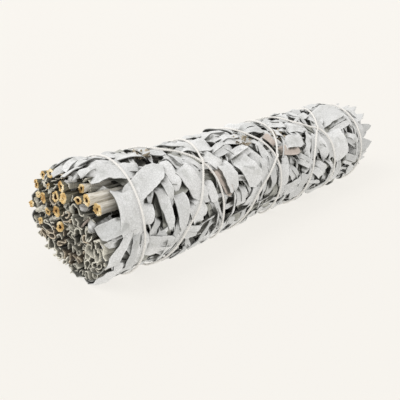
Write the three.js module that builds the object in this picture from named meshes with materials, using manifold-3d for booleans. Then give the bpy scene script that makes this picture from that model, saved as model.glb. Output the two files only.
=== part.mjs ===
// A tied bunch of dried white sage, lying on its side. About two dozen cut stems stand out of one end.
// Long grey leaves are folded round them and pressed flat, and one cotton thread winds to the leaf tips
// and back.
//
// Frame, in millimetres: X runs along the bunch from the cut stems to the leaf tips, Z is up and the bunch
// rests on Z = 0. A place on its side is given as x, and an angle in degrees round the axis: 0 faces -Y and
// 90 faces up.
import * as THREE from "three";
import { mergeVertices } from "three/addons/utils/BufferGeometryUtils.js";
import Module from "manifold-3d";

// Driving dimensions
const bunchLength = 184; // from the furthest cut stem to where the leaf tips start to stand free
const buttRadius = 24; // at the cut stems
const tipRadius = 20.2; // at the leaf tips
const restFlat = 1.1; // how far its weight has flattened the underside
const leafThickness = 0.75;
const leafBed = 2.4; // from the outermost leaves down to the packed leaves under them
const threadRadius = 0.5;
const threadSeat = 0.9; // the thread's centre line above the pressed leaves
const gap = 0.3; // between pieces that touch
const stemLength = 112; // how far the stems run into the bunch

const stemEnd = -bunchLength / 2;
const tipEnd = bunchLength / 2;
const middle = [1.86, 0.15]; // x and y of the finished bunch's middle, free leaf tips and thread included
const degrees = Math.PI / 180;

const wasm = await Module();
wasm.setup();

// A seeded random draw, so that the bunch is the same each time.
function seeded(seed) {
  let state = seed;
  return () => {
    state = (state + 0x6d2b79f5) | 0;
    let t = Math.imul(state ^ (state >>> 15), 1 | state);
    t = (t + Math.imul(t ^ (t >>> 7), 61 | t)) ^ t;
    return ((t ^ (t >>> 14)) >>> 0) / 4294967296;
  };
}
const between = (random, low, high) => low + (high - low) * random();

// The bunch's own form: a taper, shallow bulges, and a drawn-in end where the leaf tips gather.
function radiusAt(x, angle) {
  const taper = THREE.MathUtils.lerp(buttRadius, tipRadius, (x - stemEnd) / bunchLength);
  const a = angle * degrees;
  const bulge = 0.45 * Math.sin(0.085 * x + 1.4 * Math.sin(a)) + 0.4 * Math.sin(3 * a + 0.05 * x);
  const gathered = 0.16 * Math.max(0, (x - 78) / 14) ** 2 * tipRadius;
  const slackButt = 0.05 * Math.max(0, (-78 - x) / 14) ** 2 * buttRadius;
  return taper + bulge - gathered - slackButt;
}
const axisHeight = (x) =>
  THREE.MathUtils.lerp(buttRadius, tipRadius, (x - stemEnd) / bunchLength) - restFlat;
function onBunch(x, angle, radius) {
  const a = angle * degrees;
  return new THREE.Vector3(x, -radius * Math.cos(a), axisHeight(x) + radius * Math.sin(a));
}

// Thread: points as x and the angle turned through so far. It starts and ends at a knot at the back, at
// 200 degrees.
const threadRoute = [
  [-74, 200], [-73, 150], [-72, 100], [-72, 60], [-73, 20], [-74, -20], [-74, -70], [-70, -130], [-63, -190],
  [-55, -240], [-48, -275], [-41, -290], [-35, -305], [-31, -325], [-29, -350], [-28, -380], [-25, -430],
  [-19, -490], [-11, -550], [-4, -605], [2, -650], [6, -667], [9, -690], [9.5, -720], [10, -755], [14, -820],
  [21, -885], [29, -945], [37, -1000], [45, -1021], [52, -1033], [55.5, -1055], [56, -1085], [58, -1140],
  [64, -1200], [72, -1270], [79, -1335], [80.5, -1380], [81.5, -1430], [80, -1500], [75, -1580], [67, -1650],
  [60, -1705], [56, -1725], [51, -1745], [43, -1767], [37, -1788], [33, -1815], [29, -1870], [25, -1950],
  [22, -2030], [19, -2090], [16, -2106], [9, -2129], [1, -2146], [-6, -2165], [-12, -2210], [-19, -2290],
  [-25, -2380], [-30, -2440], [-34, -2470], [-38, -2488], [-43, -2510], [-51, -2530], [-58, -2560],
  [-66, -2610], [-74, -2680],
];
const threadSamples = [];
{
  const route = new THREE.CatmullRomCurve3(
    threadRoute.map(([x, angle]) => new THREE.Vector3(x, angle / 10, 0)), false, "centripetal",
  );
  const samples = 900;
  for (let i = 0; i <= samples; i++) {
    const p = route.getPointAt(i / samples);
    threadSamples.push({ x: p.x, angle: p.y * 10 });
  }
}
function onThread(x, angle) {
  const p = onBunch(x, angle, radiusAt(x, angle) + threadSeat);
  p.z = Math.max(p.z, threadRadius + 0.15);
  return p;
}
// Distance along the surface to the nearest turn of the thread.
function threadDistance(x, angle) {
  let nearest = Infinity;
  for (const s of threadSamples) {
    const dx = s.x - x;
    if (Math.abs(dx) >= nearest) continue;
    const turned = THREE.MathUtils.euclideanModulo(s.angle - angle + 180, 360) - 180;
    nearest = Math.min(nearest, Math.hypot(dx, turned * degrees * buttRadius));
  }
  return nearest;
}
// Leaves lie no higher than this: pinched under the thread, and freer away from it.
function ceilingAt(x, angle) {
  const pinch = threadSeat - threadRadius - gap - 0.1 + 0.5 * Math.max(0, threadDistance(x, angle) - 0.8);
  return radiusAt(x, angle) + Math.min(pinch, 2.6);
}

// Between a closed three.js geometry and a solid
function solidOf(geometry) {
  const bare = geometry.index ? geometry.toNonIndexed() : geometry.clone();
  bare.deleteAttribute("normal");
  bare.deleteAttribute("uv");
  const merged = mergeVertices(bare, 1e-4);
  return new wasm.Manifold(new wasm.Mesh({
    numProp: 3,
    vertProperties: merged.attributes.position.array,
    triVerts: new Uint32Array(merged.index.array),
  }));
}
function geometryOf(solid) {
  const mesh = solid.getMesh();
  const points = new Float32Array(mesh.numVert * 3);
  for (let i = 0; i < mesh.numVert; i++)
    points.set(mesh.vertProperties.subarray(i * mesh.numProp, i * mesh.numProp + 3), i * 3);
  const geometry = new THREE.BufferGeometry();
  geometry.setAttribute("position", new THREE.BufferAttribute(points, 3));
  geometry.setIndex(new THREE.BufferAttribute(new Uint32Array(mesh.triVerts), 1));
  return geometry;
}
const joined = (solids) => wasm.Manifold.union(solids);
const largestBody = (solid) =>
  solid.decompose().reduce((best, body) => (body.volume() > best.volume() ? body : best));

// A thin closed sheet between two grids of points, split into triangles alike on both faces.
function sheetSolid(top, bottom) {
  const rows = top.length;
  const columns = top[0].length;
  const points = [...top.flat(), ...bottom.flat()];
  const under = rows * columns;
  const at = (i, j) => i * columns + j;
  const faces = [];
  const quad = (a, b, c, d) => faces.push(a, b, c, a, c, d);
  for (let i = 0; i < rows - 1; i++)
    for (let j = 0; j < columns - 1; j++) {
      const [a, b, c, d] = [at(i, j), at(i + 1, j), at(i + 1, j + 1), at(i, j + 1)];
      faces.push(a, b, c, a, c, d);
      faces.push(under + a, under + c, under + b, under + a, under + d, under + c);
    }
  for (let i = 0; i < rows - 1; i++) {
    quad(under + at(i, 0), under + at(i + 1, 0), at(i + 1, 0), at(i, 0));
    const j = columns - 1;
    quad(at(i, j), at(i + 1, j), under + at(i + 1, j), under + at(i, j));
  }
  for (let j = 0; j < columns - 1; j++) {
    quad(at(0, j), at(0, j + 1), under + at(0, j + 1), under + at(0, j));
    const i = rows - 1;
    quad(under + at(i, j), under + at(i, j + 1), at(i, j + 1), at(i, j));
  }
  const geometry = new THREE.BufferGeometry().setFromPoints(points);
  geometry.setIndex(faces);
  const solid = solidOf(geometry);
  return solid.volume() < 0 ? solidOf(flipped(geometry)) : solid;
}
function flipped(geometry) {
  const index = Array.from(geometry.index.array);
  for (let i = 0; i < index.length; i += 3) [index[i + 1], index[i + 2]] = [index[i + 2], index[i + 1]];
  return geometry.clone().setIndex(index);
}

// The width of a sage leaf along its length, from the stalk at 0 to the tip at 1.
const leafWidth = (u) => Math.sin(Math.PI * (0.08 + 0.9 * u)) ** 0.6;

// A leaf pressed on the bunch from (x0, a0) to (x1, a1). lift raises it off the mean surface, tilt (a slope)
// raises its left edge, crown arches it across and bow bends its line sideways. Both its ends tuck in under
// other leaves.
function leafPoint(leaf, u, v, extra) {
  const along = new THREE.Vector2(leaf.x1 - leaf.x0, (leaf.a1 - leaf.a0) * degrees * buttRadius);
  const length = along.length();
  const across = new THREE.Vector2(-along.y, along.x).divideScalar(length);
  const half = (leaf.width / 2) * leafWidth(u) + extra;
  const start = -extra / length;
  const t = start + u * (1 - 2 * start);
  const side = v * half + leaf.bow * Math.sin(Math.PI * u);
  const x = leaf.x0 + along.x * t + across.x * side;
  const angle = leaf.a0 + (along.y * t + across.y * side) / (degrees * buttRadius);
  const tuck = leaf.tuck * Math.abs(2 * u - 1) ** 4;
  const height = leaf.lift + leaf.tilt * v * half + leaf.crown * (0.5 - v * v) * half - tuck;
  return { x, angle, radius: Math.min(radiusAt(x, angle) + height, ceilingAt(x, angle)) };
}
const leafLength = (leaf) => Math.hypot(leaf.x1 - leaf.x0, (leaf.a1 - leaf.a0) * degrees * buttRadius);
function leafSolid(leaf, grow = 0) {
  const rows = leafLength(leaf) > 21 ? [0, 0.22, 0.76, 1] : [0, 0.5, 1];
  const columns = leaf.width > 10.9 ? [-1, 0, 1] : [-1, 1]; // only the broadest are arched across
  const grid = (drop) => rows.map((u) => columns.map((v) => {
    const p = leafPoint(leaf, u, v, grow);
    return onBunch(p.x, p.angle, p.radius + drop);
  }));
  return sheetSolid(grid(grow), grid(-leafThickness - grow));
}
const leafFrom = ([x0, a0, x1, a1, width, lift = 0, tilt = 0, crown = 0.3]) =>
  ({ x0, a0, x1, a1, width, lift, tilt, crown, bow: 0, tuck: 2.8 });

// Large leaves that wrap the outside: x and angle at the stalk, x and angle at the tip, width, lift, tilt,
// crown.
const wrapLeaves = [
  [-84.5, 72, -61, 59, 7.5, 0.5, 0.1], [-76, 37, -53, 61, 8.5, 0.9, -0.12],
  [-75, 52, -80, -3, 11.5, 0.5, -0.1, 0.4], [-83, 12, -74, -24, 6.5, 1.0, 0.2, 0.5],
  [-53, 32, -53, -17, 6, 0.7, 0.1], [-48, 58, -38, 4, 8.5, 0.8, 0.1], [-38, 84, -20, 66, 9.5, 0.6, 0.1],
  [-24, 46, -20, 4, 7.5, 0.6, -0.15], [-14, 43, -5, 2, 9.5, 0.7, 0.12], [20, 45, 35, 39, 6.5, 0.8, 0.2],
  [60, 48, 61, -10, 12, 0.7, 0.06, 0.4], [55, 66, 79, 72, 13, 0.6, 0.05, 0.35],
];
const tanLeaves = [
  [-29, 42, -22.5, 2, 4.4, 0.5, 0.15], [-44, 47, -39.5, 28, 4, 0.7, 0.1],
  [11, 66, 13.5, 44, 5, 0.6, 0.1], [14, 37, 31, 29, 5, 0.2, -0.2],
];
// Smaller leaves that show between them, on the side that faces -Y and up.
const frontLeaves = [
  [-86, 85, -66, 73, 6, 0.2, 0.2], [-78, 101, -62, 93, 7, 0.3, 0.1], [-70, 88, -55, 76, 5, 0.4, -0.2],
  [-91, 3, -74, 13, 6, 0.6, 0.2], [-80, -2, -73, -31, 4.5, 0.8, 0.2], [-68, 30, -72, 8, 4.5, 0.4, 0.2],
  [-65, 12, -71, -5, 4, 0.3, -0.3], [-63, 0, -70, -13, 4, 0.2, 0.3], [-75, -12, -57, -23, 9, 0, 0.1],
  [-61, 44, -60, -9, 4.8, 0.5, -0.1], [-57.5, 60, -57, 18, 3.6, 0.1, 0.2],
  [-53.5, 68, -52, 26, 5.2, 0.3, 0.2], [-47, 21, -41, -13, 9, 0, 0.1], [-48, 75, -44, 49, 5.5, 0.4, -0.1],
  [-58, 92, -44, 77, 6, 0.2, 0.2], [-43, 66, -36, 38, 6, 0, 0.1], [-36, 31, -33, 3, 4.2, 0.3, 0.3],
  [-60, -8, -39, -21, 5.5, 0, 0.2], [-27, 55, -11, 63, 6, 0.4, 0.2], [-31, 62, -25, 36, 5, 0.2, 0.3],
  [-18, 46, -3, 53, 6, 0.4, -0.2], [-8, 47, 2, 9, 5, 0.3, 0.3], [-16, 14, -18, -15, 5.5, 0.2, -0.2],
  [-4, 9, -12, -21, 6, 0.4, 0.2], [-22, 88, -3, 79, 8, 0.4, 0.1], [-16, 73, -2, 66, 6, 0.1, 0.3],
  [2, 63, 3.5, 13, 3.8, 0.3, 0.3], [5.5, 40, 4, -8, 3.6, 0.5, -0.3], [12.5, 26, 11, -10, 5, 0.5, 0.1],
  [-0.5, 37, -2, 0, 4.2, 0, 0.3], [4, 86, 17, 72, 7, 0.4, 0.1], [24, 23, 35, 7, 5.5, 0.3, 0.3],
  [16, 17, 24, -8, 5.5, 0.4, -0.3], [20, 88, 35, 74, 9, 0.4, 0.1], [30, 71, 45, 58, 8, 0.3, 0.15],
  [29, -1, 13, -18, 5.5, 0.3, 0.2], [33, 22, 43, 55, 4.4, 0.3, 0.3], [37, 12, 46, 48, 4.4, 0.4, -0.3],
  [46, 47, 48, 3, 5.2, 0.3, 0.2], [51.5, 45, 53, 0, 5.2, 0.5, 0.1], [60, 46, 79, 52, 7, 0, 0.2],
  [70, 31, 80, 6, 6.5, 0.3, 0.3], [38, 2, 50, -18, 8, 0.3, 0.15], [64, 0, 80, -19, 7.5, 0.3, -0.1],
  [44, 84, 57, 89, 8, 0.3, 0.2], [60, 93, 79, 97, 9, 0.3, 0.1],
].map(leafFrom);

// The notch at the butt where stems show from the side
const inNotch = (x, angle) => {
  const turned = THREE.MathUtils.euclideanModulo(angle, 360);
  return x < -77 && turned > 12 && turned < 62;
};
// Points along a leaf's middle line, to see how near two leaves lie
const spineOf = (leaf) => [0.08, 0.25, 0.42, 0.58, 0.75, 0.92].map((t) => ({
  x: THREE.MathUtils.lerp(leaf.x0, leaf.x1, t), angle: THREE.MathUtils.lerp(leaf.a0, leaf.a1, t),
}));
function apart(a, b) {
  let nearest = Infinity;
  for (const p of a)
    for (const q of b) {
      const turned = THREE.MathUtils.euclideanModulo(p.angle - q.angle + 180, 360) - 180;
      nearest = Math.min(nearest, Math.hypot(p.x - q.x, turned * degrees * buttRadius));
    }
  return nearest;
}
// Leaves laid by rule: each random place is kept only where it has room beside the leaves already there.
function laidLeaves({ seed, tries, length, width, lift, crowd }, placed) {
  const random = seeded(seed);
  const there = placed.map((leaf) => ({ spine: spineOf(leaf), width: leaf.width }));
  const leaves = [];
  for (let n = 0; n < tries; n++) {
    const x = between(random, stemEnd + 6, tipEnd - 4);
    const angle = between(random, 0, 360);
    const heading = random() < 0.75 ? between(random, 0.9, 2.2) : between(random, -0.4, 0.6);
    const reach = between(random, ...length) / 2;
    const swing = (Math.sin(heading) * reach) / (degrees * buttRadius);
    const leaf = {
      x0: x - Math.cos(heading) * reach,
      a0: angle + swing,
      x1: x + Math.cos(heading) * reach,
      a1: angle - swing,
      width: between(random, ...width),
      lift: between(random, ...lift),
      tilt: between(random, -0.28, 0.28),
      crown: between(random, 0.1, 0.5),
      bow: between(random, -1.5, 1.5),
      tuck: 2.8,
    };
    const spine = spineOf(leaf);
    const ends = [leaf.x0, leaf.x1];
    if (Math.min(...ends) < stemEnd + 2 || Math.max(...ends) > tipEnd - 2) continue;
    if (spine.some((p) => inNotch(p.x, p.angle))) continue;
    if (there.some((other) => apart(spine, other.spine) < (crowd * (leaf.width + other.width)) / 2)) continue;
    there.push({ spine, width: leaf.width });
    leaves.push(leaf);
  }
  return leaves;
}
const handPlaced = [...wrapLeaves.map(leafFrom), ...tanLeaves.map(leafFrom), ...frontLeaves];
const coverLeaves = laidLeaves(
  { seed: 23, tries: 3000, length: [18, 21], width: [8, 11], lift: [0, 0.8], crowd: 0.74 }, handPlaced,
);

// The packed inner leaves: one low body that everything above is sunk into.
function packedBed() {
  const sides = 16;
  const stations = [-80, -40, 0, 40, 84];
  const ring = (x) => Array.from({ length: sides }, (_, k) => {
    const angle = (360 * k) / sides;
    const p = onBunch(x, angle, radiusAt(x, angle) - leafBed);
    const level = axisHeight(x);
    if (p.z < level * 0.2) p.z = -1; // its own weight presses the underside flat
    return p;
  });
  const rings = stations.map(ring);
  const faces = [];
  rings.slice(1).forEach((_, i) => {
    for (let k = 0; k < sides; k++) {
      const next = (k + 1) % sides;
      const [a, b, c, d] = [i * sides + k, (i + 1) * sides + k, (i + 1) * sides + next, i * sides + next];
      faces.push(a, b, c, a, c, d);
    }
  });
  const points = rings.flat();
  const cap = (x, first) => {
    points.push(new THREE.Vector3(x, 0, axisHeight(x)));
    for (let k = 0; k < sides; k++) {
      const next = (k + 1) % sides;
      if (first === 0) faces.push(points.length - 1, first + k, first + next);
      else faces.push(points.length - 1, first + next, first + k);
    }
  };
  cap(stations[0], 0);
  cap(stations[stations.length - 1], (stations.length - 1) * sides);
  const geometry = new THREE.BufferGeometry().setFromPoints(points);
  geometry.setIndex(faces);
  const solid = solidOf(geometry);
  return solid.volume() < 0 ? solidOf(flipped(geometry)) : solid;
}

// Cut stems: y and height of the cut end, how far it is cut back from the furthest one, and its radius.
const stemReach = 2.5; // how far the furthest one stands past the leaves
const stems = [
  [5.2, 45, 1, 1.6], [9.9, 43.2, 0.5, 1.4], [15, 38.3, 0.3, 1.6], [8.4, 39, 1.5, 1.1], [-1.4, 41.6, 1, 1.8],
  [-6.3, 40.7, 6.5, 1.6], [11.3, 33.5, 0.5, 1.8], [2.3, 36.6, 0.5, 1.9], [-2.4, 37.3, 0.8, 1.9],
  [-8, 37.4, 3.5, 1.5], [-11.4, 38, 5, 1.9], [-14.1, 34.4, 7.5, 2], [20.6, 28.3, 0.3, 1.4],
  [3.5, 30.1, 1, 1.8], [9.4, 28.3, 0.7, 1.5], [16.1, 22.2, 1, 1.4], [3.6, 23.3, 2, 2],
  [16, 33.4, 1.2, 1.3],
].map(([y, z, cutBack, radius], i) => (
  { y, z, cutBack, radius, name: `stem_${String(i + 1).padStart(2, "0")}` }
));
const pithDepth = 1.6;
const stemGather = 0.62; // how much closer the stems lie at their inner ends
function stemLine({ y, z, cutBack }) {
  const outer = new THREE.Vector3(stemEnd - stemReach + cutBack, y, z);
  const innerX = stemEnd + stemLength;
  const innerZ = axisHeight(innerX) + (z - axisHeight(stemEnd)) * stemGather;
  const inner = new THREE.Vector3(innerX, y * stemGather, innerZ);
  return { outer, inner };
}
function stemSolid(stem, grow = 0) {
  const { outer, inner } = stemLine(stem);
  const length = outer.distanceTo(inner) + grow;
  const r = stem.radius + grow;
  const thin = r * 0.62;
  const profile = grow
    ? [[0, 12], [r, 12], [thin, -length], [0, -length]]
    : [[0, -pithDepth], [r * 0.45, 0], [r, 0], [thin, -length], [0, -length]];
  const sides = 7;
  const lathe = new THREE.LatheGeometry(profile.map(([a, b]) => new THREE.Vector2(a, b)).reverse(), sides);
  const turn = new THREE.Quaternion().setFromUnitVectors(
    new THREE.Vector3(0, 1, 0), outer.clone().sub(inner).normalize(),
  );
  lathe.applyQuaternion(turn);
  lathe.translate(outer.x, outer.y, outer.z);
  const solid = solidOf(lathe);
  return solid.volume() < 0 ? solidOf(flipped(mergeVertices(lathe))) : solid;
}

// Leaves folded in between the stems: each is a wavy line across the cut end, drawn out along the bunch.
function foldedLeaves() {
  const random = seeded(47);
  const leaves = [];
  const rings = [[20.5, 12], [15.5, 8], [10, 4]];
  for (const [distance, count] of rings)
    for (let k = 0; k < count; k++) {
      const angle = (360 * (k + between(random, -0.3, 0.3))) / count;
      const r = distance + between(random, -1, 1);
      const centre = new THREE.Vector2(-r * Math.cos(angle * degrees), r * Math.sin(angle * degrees));
      const heading = angle * degrees + Math.PI / 2 + between(random, -0.7, 0.7);
      const low = ((1 + Math.cos((angle - 290) * degrees)) / 2) ** 3; // cut furthest back underneath
      leaves.push({
        centre, heading,
        reach: between(random, 7, 11),
        wave: between(random, 1, 2.2) * (random() < 0.5 ? -1 : 1),
        front: stemEnd - 2 + 8 * low + between(random, -0.5, 1.5),
        notch: inNotch(-85, angle) && distance > 15,
      });
    }
  return leaves.filter((leaf) => !leaf.notch);
}
const foldRim = 21.4; // no fold stands further out than this from the axis, so none bears on the floor
function foldedSolid(leaf) {
  const steps = 4;
  const back = -78;
  const along = new THREE.Vector2(-Math.cos(leaf.heading), Math.sin(leaf.heading));
  const across = new THREE.Vector2(-along.y, along.x);
  const line = Array.from({ length: steps }, (_, i) => {
    const t = i / (steps - 1) - 0.5;
    const sway = leaf.wave * Math.sin(2 * Math.PI * t + 0.6);
    const point = leaf.centre.clone().addScaledVector(along, t * leaf.reach).addScaledVector(across, sway);
    return point.clampLength(0, foldRim);
  });
  const grid = (side) => [leaf.front, back].map((x) => line.map((p, i) => {
    const bitten = x === leaf.front ? 0.8 * Math.sin(i * 1.9 + leaf.heading) : 0;
    const squeeze = x === leaf.front ? 1 : 0.9;
    return new THREE.Vector3(
      x + bitten,
      (p.x + across.x * side) * squeeze,
      axisHeight(stemEnd) + (p.y + across.y * side) * squeeze,
    );
  }));
  return sheetSolid(grid(leafThickness / 2), grid(-leafThickness / 2));
}

// Free leaf tips at the far end: rings of pointed blades that lean out a little.
function tipLeaves() {
  const random = seeded(71);
  const blades = [];
  const rings = [[0.9, 10, 13], [0.55, 6, 12], [0.2, 2, 11]];
  for (const [share, count, reach] of rings)
    for (let k = 0; k < count; k++) {
      const angle = (360 * (k + between(random, -0.25, 0.25))) / count;
      blades.push({
        angle,
        radius: radiusAt(84, angle) * share,
        length: reach + between(random, -3, 3),
        width: between(random, 5.5, 8.5),
        flare: between(random, -0.05, 0.16) * share,
        cup: between(random, 0.5, 1.6),
        roll: between(random, -0.5, 0.5),
      });
    }
  return blades;
}
function tipSolid(blade) {
  const root = 78;
  const reach = 84 - root + blade.length;
  const a = blade.angle * degrees;
  const out = new THREE.Vector3(0, -Math.cos(a), Math.sin(a));
  const along = new THREE.Vector3(0, Math.sin(a), Math.cos(a))
    .applyAxisAngle(new THREE.Vector3(1, 0, 0), blade.roll);
  const stations = [[0, 0.8], [0.6, 1], [1, 0.14]];
  const room = (axisHeight(84) - 1.5) / Math.max(-out.z, 0.01); // a tip underneath keeps clear of the floor
  const grid = (drop) => stations.map(([u, wide]) => [-1, 0, 1].map((v) => {
    const x = root + reach * u;
    const rise = Math.min(blade.radius + blade.flare * reach * u - blade.cup * v * v * wide, room);
    return new THREE.Vector3(x, 0, axisHeight(84))
      .addScaledVector(out, rise + drop)
      .addScaledVector(along, (v * wide * blade.width) / 2);
  }));
  return sheetSolid(grid(0), grid(-leafThickness));
}

// A dried flower bud cluster: short pointed cups round a small middle.
const budClusters = [[-4, 63], [21, 57], [-57, 82]];
const cupCount = 5;
function budSolid([x, angle], seed, grow = 0) {
  const random = seeded(seed);
  const centre = onBunch(x, angle, radiusAt(x, angle) - 0.4);
  const out = onBunch(x, angle, radiusAt(x, angle) + 1).sub(centre).normalize();
  const middle = new THREE.IcosahedronGeometry(1.5 + grow, 0).translate(centre.x, centre.y, centre.z);
  const cups = Array.from({ length: cupCount }, (_, k) => {
    const turn = (k * 2 * Math.PI) / cupCount;
    const cup = new THREE.CylinderGeometry(1.05 + grow, 0.4 + grow, 3.4 + 2 * grow, 4);
    const lean = out.clone().multiplyScalar(0.55).add(new THREE.Vector3(
      Math.cos(turn), Math.sin(turn) * out.z, -Math.sin(turn) * out.y,
    ).multiplyScalar(between(random, 0.7, 1.1))).normalize();
    cup.applyQuaternion(new THREE.Quaternion().setFromUnitVectors(new THREE.Vector3(0, 1, 0), lean));
    const at = centre.clone().addScaledVector(lean, 2);
    return solidOf(cup.translate(at.x, at.y, at.z));
  });
  return joined([solidOf(middle), ...cups]);
}

// The thread as short straight lengths of round cord, joined; turns that cross press into one another.
function threadSolid(grow = 0) {
  const step = 9; // samples between the corners of a length
  const sides = grow ? 4 : 5;
  const places = threadSamples.filter((_, i) => i % step === 0);
  const radius = (threadRadius + grow) / Math.cos(Math.PI / sides) ** (grow ? 1 : 0);
  const lengths = [];
  const turnsPerPiece = 24; // few enough steps that a piece never crosses itself
  for (let from = 0; from < places.length - 1; from += turnsPerPiece) {
    const some = places.slice(from, Math.min(from + turnsPerPiece + 1, places.length));
    const centres = some.map(({ x, angle }) => onThread(x, angle));
    const rings = centres.map((centre, i) => {
      const ahead = centres[Math.min(i + 1, centres.length - 1)];
      const behind = centres[Math.max(i - 1, 0)];
      const forward = ahead.clone().sub(behind).normalize();
      const out = new THREE.Vector3(0, centre.y, centre.z - axisHeight(centre.x)).normalize();
      const side = new THREE.Vector3().crossVectors(forward, out).normalize();
      const up = new THREE.Vector3().crossVectors(side, forward);
      return Array.from({ length: sides }, (_, k) => {
        const a = ((k + 0.5) / sides) * 2 * Math.PI;
        return centre.clone()
          .addScaledVector(up, radius * Math.cos(a))
          .addScaledVector(side, radius * Math.sin(a));
      });
    });
    lengths.push(tubeSolid(rings));
  }
  const knotAt = onThread(-74, 200);
  const knot = new THREE.IcosahedronGeometry(1.3 + grow, 1).translate(knotAt.x, knotAt.y, knotAt.z);
  return joined([...lengths, solidOf(knot)]);
}
function tubeSolid(rings) {
  const sides = rings[0].length;
  const faces = [];
  rings.slice(1).forEach((_, i) => {
    for (let k = 0; k < sides; k++) {
      const next = (k + 1) % sides;
      const [a, b, c, d] = [i * sides + k, i * sides + next, (i + 1) * sides + next, (i + 1) * sides + k];
      faces.push(a, b, c, a, c, d);
    }
  });
  const last = (rings.length - 1) * sides;
  for (let k = 1; k < sides - 1; k++) {
    faces.push(0, k + 1, k);
    faces.push(last, last + k, last + k + 1);
  }
  const geometry = new THREE.BufferGeometry().setFromPoints(rings.flat());
  geometry.setIndex(faces);
  const solid = solidOf(geometry);
  return solid.volume() < 0 ? solidOf(flipped(geometry)) : solid;
}

// Finishes, from the photograph
const finishes = {
  sage: new THREE.MeshStandardMaterial({ color: 0xc3c6c2, roughness: 0.95, metalness: 0 }),
  tan: new THREE.MeshStandardMaterial({ color: 0xb39a86, roughness: 0.92, metalness: 0 }),
  stem: new THREE.MeshStandardMaterial({ color: 0xd0a860, roughness: 0.85, metalness: 0 }),
  bud: new THREE.MeshStandardMaterial({ color: 0x8f8467, roughness: 0.95, metalness: 0 }),
  cotton: new THREE.MeshStandardMaterial({ color: 0xf0eee8, roughness: 0.9, metalness: 0 }),
};

const bunch = new THREE.Group();
bunch.name = "sage_bunch";
function add(name, solid, finish) {
  const mesh = new THREE.Mesh(geometryOf(solid).translate(-middle[0], -middle[1], 0), finish);
  mesh.name = name;
  bunch.add(mesh);
}

const belowRest = solidOf(new THREE.BoxGeometry(400, 200, 60).translate(0, 0, -30));
const threadClear = threadSolid(gap);
add("binding_thread", threadSolid(), finishes.cotton);

const stemsClear = joined(stems.map((stem) => stemSolid(stem, gap)));
for (const stem of stems) add(stem.name, stemSolid(stem), finishes.stem);

// Pieces that lie in the leaf mass, from the top one down. Each is cut clear of those before it.
const taken = [threadClear];
function addLaid(name, solid, clear, finish) {
  const cut = solid.subtract(joined(taken)).subtract(belowRest);
  add(name, largestBody(cut), finish);
  taken.push(clear);
}
const addLeaves = (name, leaves, finish) => leaves.map(leafFrom).forEach((leaf, i) =>
  addLaid(`${name}_${String(i + 1).padStart(2, "0")}`, leafSolid(leaf), leafSolid(leaf, gap), finish));
addLeaves("tan_leaf", tanLeaves, finishes.tan);
addLeaves("wrap_leaf", wrapLeaves, finishes.sage);
budClusters.forEach((place, i) => addLaid(
  `bud_cluster_${i + 1}`, budSolid(place, 90 + i), budSolid(place, 90 + i, gap), finishes.bud,
));

// The packed bed alone bears on the floor. The leaves round it stay a little above.
const floorGap = 0.5;
const looseLeaves = joined([
  ...[...frontLeaves, ...coverLeaves].map((leaf) => leafSolid(leaf)),
  ...foldedLeaves().map(foldedSolid),
  ...tipLeaves().map(tipSolid),
]).subtract(belowRest.translate(0, 0, floorGap));
const leafMass = joined([packedBed(), looseLeaves]);
add("leaf_bunch", largestBody(leafMass.subtract(joined([...taken, stemsClear, belowRest]))), finishes.sage);

export default bunch;
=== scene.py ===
import math
import bpy
import numpy as np
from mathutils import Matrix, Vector


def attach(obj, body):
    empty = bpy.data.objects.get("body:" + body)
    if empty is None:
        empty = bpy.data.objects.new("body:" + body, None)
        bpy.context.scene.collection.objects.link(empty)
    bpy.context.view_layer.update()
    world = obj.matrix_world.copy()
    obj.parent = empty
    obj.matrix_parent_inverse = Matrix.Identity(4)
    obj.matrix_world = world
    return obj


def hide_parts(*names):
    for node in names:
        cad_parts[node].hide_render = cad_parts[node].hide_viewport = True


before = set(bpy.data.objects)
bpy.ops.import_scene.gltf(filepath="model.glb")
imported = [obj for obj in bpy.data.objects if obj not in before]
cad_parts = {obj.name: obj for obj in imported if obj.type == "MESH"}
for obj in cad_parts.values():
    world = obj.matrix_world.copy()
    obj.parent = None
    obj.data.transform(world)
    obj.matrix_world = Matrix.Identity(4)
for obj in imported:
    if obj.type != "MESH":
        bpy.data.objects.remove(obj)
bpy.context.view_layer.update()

print("frame loaded:", len(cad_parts), "solids")

# Everything below is worked out in millimetres: x along the bunch, and an angle in degrees round it, where 0
# faces -Y and 90 faces up. It turns to metres when a mesh is made.
bunch = {
    "length": 184.0,  # from the furthest cut stem to where the leaf tips stand free
    "buttRadius": 24.0,
    "tipRadius": 20.2,
    "evenTo": 78.0,  # x beyond which the two ends draw in
    "endReach": 14.0,
    "restFlat": 1.1,  # how far its weight has flattened the underside
    "threadRadius": 0.5,
    "threadSeat": 0.9,  # the thread's centre line above the pressed leaves
    "middle": (1.86, 0.15),  # x and y of the middle of the finished bunch
}
stemEnd = -bunch["length"] / 2
tipEnd = bunch["length"] / 2
arc = math.radians(1) * bunch["buttRadius"]  # mm of surface in one degree


def seeded(seed):  # the same draw as in the solid model, so its leaves come out in the same places
    state = [seed]

    def draw():
        state[0] = (state[0] + 0x6D2B79F5) & 0xFFFFFFFF
        s = state[0]
        t = ((s ^ (s >> 15)) * (1 | s)) & 0xFFFFFFFF
        t = ((t + (((t ^ (t >> 7)) * (61 | t)) & 0xFFFFFFFF)) ^ t) & 0xFFFFFFFF
        return (t ^ (t >> 14)) / 4294967296

    return draw


def between(random, low, high):
    return low + (high - low) * random()


def taperAt(x):
    return bunch["buttRadius"] + (bunch["tipRadius"] - bunch["buttRadius"]) * (x - stemEnd) / bunch["length"]


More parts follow.
